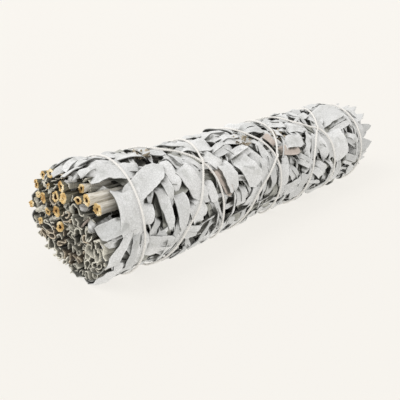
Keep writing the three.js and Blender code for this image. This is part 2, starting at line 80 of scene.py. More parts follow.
def radiusAt(x, angle):  # the bunch's own form: a taper, shallow bulges and a gathered tip
    a = np.radians(angle)
    bulge = 0.45 * np.sin(0.085 * x + 1.4 * np.sin(a)) + 0.4 * np.sin(3 * a + 0.05 * x)
    gathered = 0.16 * np.maximum(0, (x - bunch["evenTo"]) / bunch["endReach"]) ** 2 * bunch["tipRadius"]
    slackButt = 0.05 * np.maximum(0, (-bunch["evenTo"] - x) / bunch["endReach"]) ** 2 * bunch["buttRadius"]
    return taperAt(x) + bulge - gathered - slackButt


def axisHeight(x):
    return taperAt(x) - bunch["restFlat"]


def onBunch(x, angle, radius):
    a = np.radians(angle)
    return np.stack([x + 0 * a, -radius * np.cos(a), axisHeight(x) + radius * np.sin(a)], axis=-1)


def outAndAround(angle):  # the directions outward and round the bunch
    a = math.radians(angle)
    return np.array([0, -math.cos(a), math.sin(a)]), np.array([0, math.sin(a), math.cos(a)])


def ripple(p, q, phase, waves):  # a smooth crumple of about -1 to 1, from a few waves of those lengths in mm
    total = 0
    for k, wave in enumerate(waves):
        turn = phase * 1.7 + k * 2.4
        across = p * math.cos(turn) + q * math.sin(turn)
        total = total + np.sin(across * 2 * math.pi / wave + phase * 3.1 * (k + 1))
    return total / len(waves)


def sheetGrid(rows, columns):  # u runs from 0 to 1 along a sheet, and v from -1 to 1 across it
    u = np.linspace(0, 1, rows)[:, None] + np.zeros((1, columns))
    v = np.linspace(-1, 1, columns)[None, :] + np.zeros((rows, 1))
    return u, v


def lengthAlong(path):
    return np.concatenate([[0], np.cumsum(np.linalg.norm(np.diff(path, axis=0), axis=1))])


def unit(vectors):  # the same directions, one long each
    return vectors / np.maximum(np.linalg.norm(vectors, axis=-1, keepdims=True), 1e-9)


def evenPath(path, step):  # the same path with a point at each step, and how far along each point is
    run = lengthAlong(path)
    even = np.arange(0, run[-1], step)
    return np.stack([np.interp(even, run, path[:, k]) for k in range(3)], 1), even


# Meshes

def pieceFrom(name, points, faces, finishes, facesFinish=None, tone=None, grain=None, paintedShade=None):
    mesh = bpy.data.meshes.new(name)
    shifted = (points - np.array([bunch["middle"][0], bunch["middle"][1], 0])) * 0.001
    mesh.from_pydata(shifted.tolist(), [], faces.tolist() if hasattr(faces, "tolist") else faces)
    mesh.polygons.foreach_set("use_smooth", [True] * len(mesh.polygons))
    mesh.set_sharp_from_angle(angle=math.radians(48))  # leaf rims and cut faces stay crisp
    for finish in finishes:
        mesh.materials.append(finish)
    if facesFinish is not None:
        mesh.polygons.foreach_set("material_index", facesFinish)
    if tone is not None:
        mesh.attributes.new("leafTone", "FLOAT", "POINT").data.foreach_set("value", tone)
    # painted shade beside higher leaf edges, one value per point
    if paintedShade is not None:
        mesh.attributes.new("leafPaintedShade", "FLOAT", "POINT").data.foreach_set("value", paintedShade)
    if grain is not None:
        mesh.attributes.new("leafGrain", "FLOAT_VECTOR", "POINT").data.foreach_set("vector", grain.ravel())
    mesh.update()
    piece = bpy.data.objects.new(name, mesh)
    bpy.context.collection.objects.link(piece)
    return piece


def closedSheet(top, thickness):  # a grid of points and its twin underneath, joined round the rim
    rows, columns = top.shape[:2]
    under = top - unit(np.cross(np.gradient(top, axis=0), np.gradient(top, axis=1))) * thickness
    index = np.arange(rows * columns).reshape(rows, columns)
    low = index + rows * columns
    a, b, c, d = index[:-1, :-1], index[1:, :-1], index[1:, 1:], index[:-1, 1:]
    faces = [np.stack([a, b, c, d], -1).reshape(-1, 4)]
    a, b, c, d = low[:-1, :-1], low[:-1, 1:], low[1:, 1:], low[1:, :-1]
    faces.append(np.stack([a, b, c, d], -1).reshape(-1, 4))
    ring = np.concatenate([index[0, :-1], index[:-1, -1], index[-1, :0:-1], index[:0:-1, 0]])
    lowRing = ring + rows * columns
    following = np.roll(ring, -1)
    faces.append(np.stack([ring, following, following + rows * columns, lowRing], -1))
    return np.concatenate([top.reshape(-1, 3), under.reshape(-1, 3)]), np.concatenate(faces)


def ringFaces(rings, sides, first=0):  # the faces between closed rings of points
    index = np.arange(rings * sides).reshape(rings, sides) + first
    following = np.roll(index, -1, axis=1)
    return np.stack([index[:-1], following[:-1], following[1:], index[1:]], -1).reshape(-1, 4)


def sheetsPiece(name, sheets, felt):  # many thin leaves as one piece
    points, faces, tone, grain, paintedShade = [], [], [], [], []
    count = 0
    for sheet in sheets:
        p, f = closedSheet(sheet["points"], sheet["thickness"])
        points.append(p)
        faces.append(f + count)
        upper = np.broadcast_to(sheet["tone"], sheet["points"].shape[:2]).ravel()
        tone.extend((upper, upper * sheet.get("under", 0.2)))  # the underside is painted darker, as painted shade in the gaps between leaves
        grain.append(np.tile(sheet["grain"].reshape(-1, 3), (2, 1)))
        # painted shade beside higher leaf edges, and on the underside
        above = np.ravel(sheet.get("paintedShade", np.zeros(len(p) // 2)))
        paintedShade.extend((above, np.maximum(above, sheet.get("paintedShadeUnder", 0))))
        count += len(p)
    return pieceFrom(name, np.concatenate(points), np.concatenate(faces), [felt],
                     tone=np.concatenate(tone), grain=np.concatenate(grain), paintedShade=np.concatenate(paintedShade))


def place(piece, node):
    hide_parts(node)
    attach(piece, "root")


# Finishes

def srgb(code):
    parts = [int(code[i:i + 2], 16) / 255 for i in (1, 3, 5)]
    return [c / 12.92 if c <= 0.04045 else ((c + 0.055) / 1.055) ** 2.4 for c in parts] + [1]


def addNode(tree, kind, settings=None, links=None):
    node = tree.nodes.new(kind)
    for key, value in (settings or {}).items():
        if isinstance(key, str) and hasattr(node, key):
            setattr(node, key, value)
        else:
            node.inputs[key].default_value = value
    for socket, source in (links or {}).items():
        tree.links.new(source, node.inputs[socket])
    return node


def blankFinish(name, **settings):
    finish = bpy.data.materials.new(name)
    finish.use_nodes = True
    shader = finish.node_tree.nodes["Principled BSDF"]
    for key, value in settings.items():
        shader.inputs[key].default_value = value
    return finish, finish.node_tree, shader


# Dried white sage leaf: a thin leaf under a felt of short white hairs. The felt scatters light evenly, so it
# looks like pale suede, with no gloss and faint veins; its slightly brighter rim is a painted highlight.
# the last colour is the dark grey of the painted shade beside higher leaf edges
leafColours = {"pale": "#F3F4F5", "grey": "#C2C4C4", "green": "#A5A7A0", "vein": "#AFB1AE",
               "paintedShade": "#4A4A42"}


def feltedLeaf(name, pale, grey, patch, vein, patchShare=0.45):
    finish, tree, shader = blankFinish(name, Roughness=0.94, IOR=1.4)
    shader.inputs["Sheen Weight"].default_value = 0.25
    shader.inputs["Sheen Roughness"].default_value = 0.6
    shader.inputs["Specular IOR Level"].default_value = 0.2
    place3d = addNode(tree, "ShaderNodeTexCoord").outputs["Object"]
    tone = addNode(tree, "ShaderNodeAttribute", {"attribute_name": "leafTone"}).outputs["Fac"]
    grain = addNode(tree, "ShaderNodeAttribute", {"attribute_name": "leafGrain"}).outputs["Vector"]
    # each leaf has its own tone between pale and grey
    base = addNode(tree, "ShaderNodeMix", {"data_type": "RGBA", 6: srgb(grey), 7: srgb(pale)}, {0: tone})
    # patches about 6 mm across where the felt has worn thin
    worn = addNode(tree, "ShaderNodeTexNoise", {"Scale": 160.0, "Detail": 4.0, "Roughness": 0.6},
                   {"Vector": place3d})
    wornShare = addNode(tree, "ShaderNodeMapRange", {1: 0.52, 2: 0.72, 3: 0.0, 4: patchShare},
                        {0: worn.outputs[0]})
    patched = addNode(tree, "ShaderNodeMix", {"data_type": "RGBA", 7: srgb(patch)},
                      {0: wornShare.outputs[0], 6: base.outputs[2]})
    # veins: a net of cells about 1.1 mm across, drawn out along the leaf
    net = addNode(tree, "ShaderNodeTexVoronoi", {"feature": "DISTANCE_TO_EDGE", "Scale": 0.9},
                  {"Vector": grain})
    veinLine = addNode(tree, "ShaderNodeMapRange", {1: 0.0, 2: 0.16, 3: 0.32, 4: 0.0}, {0: net.outputs[0]})
    veined = addNode(tree, "ShaderNodeMix", {"data_type": "RGBA", 7: srgb(vein)},
                     {0: veinLine.outputs[0], 6: patched.outputs[2]})
    # the felt itself is far finer than a pixel, so it is drawn at 0.35 mm
    felt = addNode(tree, "ShaderNodeTexNoise", {"Scale": 2800.0, "Detail": 3.0}, {"Vector": place3d})
    speckle = addNode(tree, "ShaderNodeMapRange", {1: 0.3, 2: 0.7, 3: 0.9, 4: 1.08}, {0: felt.outputs[0]})
    coloured = addNode(tree, "ShaderNodeMix", {"data_type": "RGBA", "blend_type": "MULTIPLY", 0: 1.0},
                       {6: veined.outputs[2], 7: speckle.outputs[0]})
    # painted shade: strips lying just below a higher leaf's edge are darkened towards a dark grey
    paintedShade = addNode(tree, "ShaderNodeAttribute", {"attribute_name": "leafPaintedShade"}).outputs["Fac"]
    paintedShadeMix = addNode(tree, "ShaderNodeMix", {"data_type": "RGBA", 7: srgb(leafColours["paintedShade"])},
                       {0: paintedShade, 6: coloured.outputs[2]})
    tree.links.new(paintedShadeMix.outputs[2], shader.inputs["Base Color"])
    cells = addNode(tree, "ShaderNodeBump", {"Strength": 0.45, "Distance": 0.00018},
                    {"Height": net.outputs[0]})
    wrinkles = addNode(tree, "ShaderNodeTexNoise", {"Scale": 620.0, "Detail": 4.0}, {"Vector": place3d})
    creased = addNode(tree, "ShaderNodeBump", {"Strength": 0.5, "Distance": 0.0004},
                      {"Height": wrinkles.outputs[0], "Normal": cells.outputs[0]})
    nap = addNode(tree, "ShaderNodeBump", {"Strength": 0.35, "Distance": 0.00008},
                  {"Height": felt.outputs[0], "Normal": creased.outputs[0]})
    tree.links.new(nap.outputs[0], shader.inputs["Normal"])
    return finish


# Sage pith: a soft spongy core that dries brown and shrinks back into the stem; its colour, down to near
# black, is partly painted shade in the hollow.
def dryPith():
    finish, tree, shader = blankFinish("dryPith", Roughness=0.95, IOR=1.4)
    place3d = addNode(tree, "ShaderNodeTexCoord").outputs["Object"]
    sponge = addNode(tree, "ShaderNodeTexNoise", {"Scale": 1800.0, "Detail": 3.0}, {"Vector": place3d})
    shade = addNode(tree, "ShaderNodeMix", {"data_type": "RGBA", 6: srgb("#1E1207"), 7: srgb("#5A3C18")},
                    {0: sponge.outputs[0]})
    tree.links.new(shade.outputs[2], shader.inputs["Base Color"])
    return finish


# Cut sage wood: freshly snipped, so the wall is golden straw and the pith hole is brown; fibrous and matt.
def snippedWood():
    finish, tree, shader = blankFinish("snippedSageWood", Roughness=0.8, IOR=1.5)
    place3d = addNode(tree, "ShaderNodeTexCoord").outputs["Object"]
    fibre = addNode(tree, "ShaderNodeTexNoise", {"Scale": 1500.0, "Detail": 4.0}, {"Vector": place3d})
    patch = addNode(tree, "ShaderNodeTexNoise", {"Scale": 330.0, "Detail": 3.0}, {"Vector": place3d})
    ramp = addNode(tree, "ShaderNodeValToRGB", {}, {"Fac": patch.outputs[0]})
    ramp.color_ramp.elements[0].position, ramp.color_ramp.elements[0].color = 0.34, srgb("#B68C50")
    ramp.color_ramp.elements[1].position, ramp.color_ramp.elements[1].color = 0.62, srgb("#FBEBC6")
    middle = ramp.color_ramp.elements.new(0.5)
    middle.color = srgb("#EACB8C")
    dots = addNode(tree, "ShaderNodeMapRange", {1: 0.35, 2: 0.65, 3: 0.75, 4: 1.1}, {0: fibre.outputs[0]})
    coloured = addNode(tree, "ShaderNodeMix", {"data_type": "RGBA", "blend_type": "MULTIPLY", 0: 1.0},
                       {6: ramp.outputs[0], 7: dots.outputs[0]})
    tree.links.new(coloured.outputs[2], shader.inputs["Base Color"])
    rough = addNode(tree, "ShaderNodeBump", {"Strength": 0.8, "Distance": 0.00015},
                    {"Height": fibre.outputs[0]})
    tree.links.new(rough.outputs[0], shader.inputs["Normal"])
    return finish


# Dried sage bark: ridged along the stem, grey-beige with a greenish cast and darker in the grooves.
def sageBark(name, groove, ridgeTop):
    finish, tree, shader = blankFinish(name, Roughness=0.88, IOR=1.45)
    place3d = addNode(tree, "ShaderNodeTexCoord").outputs["Object"]
    stretched = addNode(tree, "ShaderNodeMapping", {"Scale": (120.0, 1400.0, 1400.0)}, {"Vector": place3d})
    ridge = addNode(tree, "ShaderNodeTexNoise", {"Scale": 1.0, "Detail": 3.0},
                    {"Vector": stretched.outputs[0]})
    ramp = addNode(tree, "ShaderNodeValToRGB", {}, {"Fac": ridge.outputs[0]})
    ramp.color_ramp.elements[0].position, ramp.color_ramp.elements[0].color = 0.32, srgb(groove)
    ramp.color_ramp.elements[1].position, ramp.color_ramp.elements[1].color = 0.66, srgb(ridgeTop)
    tree.links.new(ramp.outputs[0], shader.inputs["Base Color"])
    grooves = addNode(tree, "ShaderNodeBump", {"Strength": 0.7, "Distance": 0.0003},
                      {"Height": ridge.outputs[0]})
    tree.links.new(grooves.outputs[0], shader.inputs["Normal"])
    return finish


# Dried sepals: papery and brown-beige, mottled darker and paler.
def driedSepal():
    finish, tree, shader = blankFinish("driedSageSepal", Roughness=0.9, IOR=1.4)
    place3d = addNode(tree, "ShaderNodeTexCoord").outputs["Object"]
    mottle = addNode(tree, "ShaderNodeTexNoise", {"Scale": 500.0, "Detail": 4.0}, {"Vector": place3d})
    ramp = addNode(tree, "ShaderNodeValToRGB", {}, {"Fac": mottle.outputs[0]})
    ramp.color_ramp.elements[0].position, ramp.color_ramp.elements[0].color = 0.35, srgb("#7E735E")
    ramp.color_ramp.elements[1].position, ramp.color_ramp.elements[1].color = 0.68, srgb("#CFC5B4")
    tree.links.new(ramp.outputs[0], shader.inputs["Base Color"])
    crinkle = addNode(tree, "ShaderNodeBump", {"Strength": 0.6, "Distance": 0.0002},
                      {"Height": mottle.outputs[0]})
    tree.links.new(crinkle.outputs[0], shader.inputs["Normal"])
    return finish


# Cotton thread: three plies of soft matt yarn, off-white, with fibres finer than a pixel drawn at 0.2 mm.
def cottonYarn():
    finish, tree, shader = blankFinish("cottonYarn", Roughness=0.9, IOR=1.45)
    shader.inputs["Sheen Weight"].default_value = 0.2
    place3d = addNode(tree, "ShaderNodeTexCoord").outputs["Object"]
    fibre = addNode(tree, "ShaderNodeTexNoise", {"Scale": 5000.0, "Detail": 2.0}, {"Vector": place3d})
    shade = addNode(tree, "ShaderNodeMix", {"data_type": "RGBA", 6: srgb("#ECE9E4"), 7: srgb("#FDFCFA")},
                    {0: fibre.outputs[0]})
    tree.links.new(shade.outputs[2], shader.inputs["Base Color"])
    fuzz = addNode(tree, "ShaderNodeBump", {"Strength": 0.5, "Distance": 0.00006},
                   {"Height": fibre.outputs[0]})
    tree.links.new(fuzz.outputs[0], shader.inputs["Normal"])
    return finish


sageFelt = feltedLeaf("feltedSageLeaf", leafColours["pale"], leafColours["grey"], leafColours["green"],
                      leafColours["vein"])
tanFelt = feltedLeaf("tanSageLeaf", "#D9CEC6", "#BFB0A6", "#A69688", "#B0A094")
# a darker copy of the leaf felt for the deeper layers between leaves: painted shade
shadedInnerFelt = feltedLeaf("shadedInnerSageLeaf", "#C2C3BD", "#8C8D85", "#76736A", "#7C7B72")
# the folded leaves at the cut end run from a pale edge to near black further in: painted light and painted
# shade
foldedFelt = feltedLeaf("foldedSageLeaf", "#EDEADC", "#2A2A1F", "#26241B", "#363428", 0.3)
brownFelt = feltedLeaf("brownSageLeaf", "#E6D9C2", "#3C3021", "#2F261A", "#433828", 0.3)
# near black, for the innermost leaves and the packed middle: painted shade
paintedShadeFelt = feltedLeaf("paintedShadeSageLeaf", "#4E4B42", "#3B3830", "#332F27", "#37342D")
wood = snippedWood()
pithWood = dryPith()
# the dark bark and the pale bark are shaded and lit copies of one bark: painted shade and painted light
bark = sageBark("driedSageBark", "#403D31", "#8F8B79")
litBark = sageBark("litSageBark", "#C9C1B0", "#FBF7EE")
sepal = driedSepal()
cotton = cottonYarn()
print("finishes ready")

# The thread's route
# Points as x and the angle turned through so far; it starts and ends at a knot at the back, at 200 degrees.
threadRoute = [
    (-74, 200), (-73, 150), (-72, 100), (-72, 60), (-73, 20), (-74, -20), (-74, -70), (-70, -130),
    (-63, -190), (-55, -240), (-48, -275), (-41, -290), (-35, -305), (-31, -325), (-29, -350),
    (-28, -380), (-25, -430), (-19, -490), (-11, -550), (-4, -605), (2, -650), (6, -667), (9, -690),
    (9.5, -720), (10, -755), (14, -820), (21, -885), (29, -945), (37, -1000), (45, -1021), (52, -1033),
    (55.5, -1055), (56, -1085), (58, -1140), (64, -1200), (72, -1270), (79, -1335), (80.5, -1380),
    (81.5, -1430), (80, -1500), (75, -1580), (67, -1650), (60, -1705), (56, -1725), (51, -1745),
    (43, -1767), (37, -1788), (33, -1815), (29, -1870), (25, -1950), (22, -2030), (19, -2090),
    (16, -2106), (9, -2129), (1, -2146), (-6, -2165), (-12, -2210), (-19, -2290), (-25, -2380),
    (-30, -2440), (-34, -2470), (-38, -2488), (-43, -2510), (-51, -2530), (-58, -2560), (-66, -2610),
    (-74, -2680),
]


def smoothRoute(route, samples):  # a centripetal curve through the points, sampled evenly along its length
    p = np.array([(x, angle / 10) for x, angle in route], float)
    p = np.vstack([2 * p[0] - p[1], p, 2 * p[-1] - p[-2]])
    fine = []
    for i in range(1, len(p) - 2):
        d = [max(np.sum((p[i + k] - p[i + k - 1]) ** 2) ** 0.25, 1e-4) for k in range(3)]
        before, start, end, after = p[i - 1:i + 3]
        m1 = ((start - before) / d[0] - (end - before) / (d[0] + d[1]) + (end - start) / d[1]) * d[1]
        m2 = ((end - start) / d[1] - (after - start) / (d[1] + d[2]) + (after - end) / d[2]) * d[1]
        t = np.linspace(0, 1, 40, endpoint=False)[:, None]
        c2 = -3 * start + 3 * end - 2 * m1 - m2
        c3 = 2 * start - 2 * end + m1 + m2
        fine.append(start + m1 * t + c2 * t ** 2 + c3 * t ** 3)
    fine = np.vstack(fine + [p[-2:-1]])
    run = lengthAlong(fine)
    even = np.linspace(0, run[-1], samples)
    return np.interp(even, run, fine[:, 0]), np.interp(even, run, fine[:, 1]) * 10


threadX, threadAngle = smoothRoute(threadRoute, 3200)


def wrapped(turn):  # the same turn, from -180 to 180 degrees
    return (turn + 180) % 360 - 180


def surfaceMap(step, turn, start):  # a value for each cell of the surface, step mm long and turn degrees wide
    cells = np.full((round(2 * mapReach / step) + 1, round(360 / turn)), start)
    return {"cells": cells, "step": step, "turn": turn}


def readMap(table, x, angle):  # bilinear, and the angle goes round
    cells = table["cells"]
    p = np.clip((x + mapReach) / table["step"], 0, cells.shape[0] - 1.001)
    q = (angle % 360) / table["turn"]
    i, j = p.astype(int), q.astype(int) % cells.shape[1]
    jNext = (j + 1) % cells.shape[1]
    s, t = p - i, q - np.floor(q)
    low = cells[i, j] * (1 - t) + cells[i, jNext] * t
    high = cells[i + 1, j] * (1 - t) + cells[i + 1, jNext] * t
    return low * (1 - s) + high * s


mapReach = 100.0  # the maps run from -100 to 100 mm along x
threadNear = 9  # mm along x within which a turn of the thread presses the leaves


def threadDistances():  # distance along the surface to the nearest turn of the thread
    table = surfaceMap(1.0, 2.5, 1e3)
    cells = table["cells"]
    xs = np.arange(cells.shape[0]) * table["step"] - mapReach
    angles = np.arange(cells.shape[1]) * table["turn"]
    for sx, sa in zip(threadX[::3], threadAngle[::3]):
        near = np.abs(xs - sx) < threadNear
        turned = wrapped(sa - angles)
        cells[near] = np.minimum(cells[near], np.hypot((xs[near] - sx)[:, None], (turned * arc)[None, :]))
    return table


threadMap = threadDistances()
packing = {
    "halfWidth": 25.5,  # mm from the middle to the outermost leaf at either side
    "lift": 2.4,  # the outermost leaves above the mean surface
    "pressedLift": 0.9,  # the same on the side that is pressed closest
    "pressedSide": 322,  # degrees: low at the front
    "liftSlope": 0.06,  # mm more for each degree away from it
    "threadGap": 0.25,  # between the thread and the leaf under it
    "pinchSlope": 0.4,
    "pinchReach": 0.8,
}


def ceilingAt(x, angle):  # how high leaves reach above the mean surface; they are pinched under the thread
    away = np.maximum(0, readMap(threadMap, x, angle) - packing["pinchReach"])
    pinch = bunch["threadSeat"] - bunch["threadRadius"] - packing["threadGap"] + packing["pinchSlope"] * away
    room = packing["halfWidth"] / np.maximum(0.3, np.abs(np.cos(np.radians(angle)))) - radiusAt(x, angle)
    turned = np.abs(wrapped(angle - packing["pressedSide"]))
    lift = np.minimum(packing["lift"], packing["pressedLift"] + packing["liftSlope"] * turned)
    return np.minimum(np.minimum(pinch, room), lift)


# Leaves
leafForm = {
    "rowStep": 1.1,  # mm between points along a leaf
    "columnStep": 0.95,
    "thickness": 0.45,
    "ruffle": (0.1, 0.45),  # how far a margin waves up and down
    "crumple": 0.1,
    "crease": (0.06, 0.2),  # slope where a leaf is bent along a straight line
    "midribGroove": 0.16,
    "nicks": 0.06,  # uneven margin, as a share of the half width
    "tipShare": (0.14, 0.36),  # of its length that a leaf narrows over
    "tipSharp": (0.85, 1.3),  # below 1 for a rounded tip
    "showsLevel": 0.75,  # mm below the next leaf edge before a strip gets painted shade
    # how dark that painted shade gets
    "paintedShadeStrength": 0.85,
    "underPaintedShade": 0.9,  # painted shade on the underside, which shows as a thin dark line along the rim
    "tuck": 2.8,  # how far the two ends of a leaf are tucked in
    "heldShare": 0.16,  # the share of the length at each end that isn't raised by the leaves below
    "mostRaise": 2.2,
    "outerDrop": 0.75,  # how far the innermost leaves' ceiling lies below the outermost ones'
    "ease": 0.3,  # mm over which a leaf flattens against that ceiling
    "lowest": (0.45, 0.9),  # height over the floor of the outermost leaves, and what inner ones add to it
}
packedDepth = 5.6  # the crushed leaves inside start this far below the mean surface
pile = surfaceMap(0.5, 1.25, -packedDepth)  # how high the leaves laid so far reach above the mean surface


def leafWidth(u, tip, sharp):  # straight sides, a blunt stalk end and a pointed tip
    return np.minimum(np.minimum(1, 0.75 + 3 * u), 0.05 + 0.95 * (np.maximum(1 - u, 0) / tip) ** sharp)


def soften(grid):
    wide = np.pad(grid, 1, mode="edge")
    return (wide[:-2, 1:-1] + wide[2:, 1:-1] + wide[1:-1, :-2] + wide[1:-1, 2:] + 2 * grid) / 6


def runOf(leaf):  # how far a leaf runs along x and round the bunch, and its length
    dx, dy = leaf["x1"] - leaf["x0"], (leaf["a1"] - leaf["a0"]) * arc
    return dx, dy, math.hypot(dx, dy)


def refined(grid, times):  # the same grid with more points between its own
    rows, columns = grid.shape
    fineRows = np.linspace(0, rows - 1, (rows - 1) * times + 1)
    fineColumns = np.linspace(0, columns - 1, (columns - 1) * times + 1)
    byRow = np.stack([np.interp(fineRows, np.arange(rows), grid[:, j]) for j in range(columns)], 1)
    return np.stack([np.interp(fineColumns, np.arange(columns), row) for row in byRow])


def addToPile(x, angle, height):
    cells = pile["cells"]
    i = ((refined(x, 3) + mapReach) / pile["step"]).round().astype(int)
    j = (refined(angle, 3) % 360 / pile["turn"]).round().astype(int) % cells.shape[1]
    np.maximum.at(cells, (np.clip(i, 0, cells.shape[0] - 1), j), refined(height, 3))


def layLeaf(leaf, random, order, stiff=1.0, clearance=0.5):  # order: 0 for the innermost, 1 for the outermost
    dx, dy, length = runOf(leaf)
    rows = max(8, round(length / leafForm["rowStep"]))
    columns = max(6, round(leaf["width"] / leafForm["columnStep"]) + 2)
    u, v = sheetGrid(rows, columns)
    phase = between(random, 0, 20)
    nicks = ripple(u * length, np.sign(v) * 5.0, phase, (2.3, 4.1, 7.5)) * leafForm["nicks"] * np.abs(v) ** 3
    tip, sharp = between(random, *leafForm["tipShare"]), between(random, *leafForm["tipSharp"])
    half = leaf["width"] / 2 * leafWidth(u, tip, sharp) * (1 + nicks)
    side = v * half + leaf["bow"] * np.sin(np.pi * u)
    x = leaf["x0"] + dx * u - dy / length * side
    angle = leaf["a0"] + (dy * u + dx / length * side) / arc
    height = leaf["lift"] + leaf["tilt"] * v * half + leaf["crown"] * (0.5 - v * v) * half
    height -= leaf["tuck"] * np.abs(2 * u - 1) ** 4
    wave = between(random, 5, 10)
    ruffle = between(random, *leafForm["ruffle"]) * stiff
    height += ruffle * np.abs(v) ** 3 * np.sin(2 * np.pi * u * length / wave + phase + 1.9 * np.sign(v))
    height += leafForm["crumple"] * stiff * ripple(u * length, v * half, phase, (2.6, 4.3, 6.8))
    for bend in range(2):  # straight bends across or slantwise
        turn = between(random, -0.6, 0.6) + bend * 1.2
        where = (u - between(random, 0.25, 0.75)) * length * math.cos(turn) + v * half * math.sin(turn)
        slope = between(random, *leafForm["crease"]) * (1 if random() < 0.5 else -1) * stiff
        height += slope * (np.abs(where) - 0.25 * length)
    height -= leafForm["midribGroove"] * np.exp(-(v * half / 0.5) ** 2) * (leaf["width"] > 5)
    # lay it on what is already there, as one stiff sheet, with its ends tucked in
    held = np.clip((0.5 - np.abs(u - 0.5)) / leafForm["heldShare"], 0, 1)
    clash = np.clip(readMap(pile, x, angle) + clearance - height, 0, leafForm["mostRaise"]) * held
    raised = clash
    for _ in range(7):
        raised = np.maximum(clash * 0.85, soften(raised))
    height += raised
    ease = leafForm["ease"]
    top = ceilingAt(x, angle) - leafForm["outerDrop"] * (1 - order)
    over = height - top + ease
    height = np.where(over > 0, top - ease * np.exp(-np.maximum(over, 0) / ease), height)
    addToPile(x, angle, height)
    points = onBunch(x, angle, radiusAt(x, angle) + height)
    outerLow, innerLow = leafForm["lowest"]
    points[..., 2] = np.maximum(points[..., 2], outerLow + innerLow * (1 - order) + 0.1 * random())
    # a painted highlight: the tone rises along the rim
    tone = np.clip(leaf.get("tone", between(random, 0.3, 1.0)) + 0.25 * np.abs(v) ** 6, 0, 1)
    grain = np.stack([u * length * 0.8, v * half, np.full_like(u, phase)], -1)
    # the underside gets painted shade, a thin dark line along the rim
    return {"points": points, "thickness": leafForm["thickness"], "tone": tone, "grain": grain,
            "laid": (x, angle, height), "paintedShadeUnder": leafForm["underPaintedShade"]}


def paintShadeNearEdges(sheets):  # painted shade: each point of a leaf is darkened by how far it lies below the leaf edges within about 0.5 mm of it
    shifts = [(i, j) for i in (-1, 0, 1) for j in (-1, 0, 1)]
    reached = dict(pile, cells=np.maximum.reduce([np.roll(pile["cells"], shift, (0, 1)) for shift in shifts]))
    for sheet in sheets:
        x, angle, height = sheet["laid"]
        deep = readMap(reached, x, angle) - height
        sheet["paintedShade"] = np.clip((deep - leafForm["showsLevel"]) / 0.5, 0, 1) * leafForm["paintedShadeStrength"]


def leafFrom(row):
    x0, a0, x1, a1, width = row[:5]
    lift, tilt, crown = (list(row[5:]) + [0, 0, 0.3][len(row) - 5:])[:3]
    return {"x0": x0, "a0": a0, "x1": x1, "a1": a1, "width": width, "lift": lift, "tilt": tilt,
            "crown": crown, "bow": 0.0, "tuck": leafForm["tuck"]}


# Large leaves that wrap the outside: x and angle at the stalk, the same at the tip, width, lift, tilt, crown.
wrapLeaves = [leafFrom(row) for row in [
    (-84.5, 72, -61, 59, 7.5, 0.5, 0.1), (-76, 37, -53, 61, 8.5, 0.9, -0.12),
    (-75, 52, -80, -3, 11.5, 0.5, -0.1, 0.4), (-83, 12, -74, -24, 6.5, 1.0, 0.2, 0.5),
    (-53, 32, -53, -17, 6, 0.7, 0.1), (-48, 58, -38, 4, 8.5, 0.8, 0.1),
    (-38, 84, -20, 66, 9.5, 0.6, 0.1), (-24, 46, -20, 4, 7.5, 0.6, -0.15), (-14, 43, -5, 2, 9.5, 0.7, 0.12),
    (20, 45, 35, 39, 6.5, 0.8, 0.2), (60, 48, 61, -10, 12, 0.7, 0.06, 0.4),
    (55, 66, 79, 72, 13, 0.6, 0.05, 0.35),
]]
underRim = 3  # the number of the one that lies deeper, under the leaves folded over the rim; its tone is lowered as painted shade
tanLeaves = [leafFrom(row) for row in [
    (-29, 42, -22.5, 2, 4.4, 0.5, 0.15), (-44, 47, -39.5, 28, 4, 0.7, 0.1),
    (11, 66, 13.5, 44, 5, 0.6, 0.1), (14, 37, 31, 29, 5, 0.2, -0.2),
]]
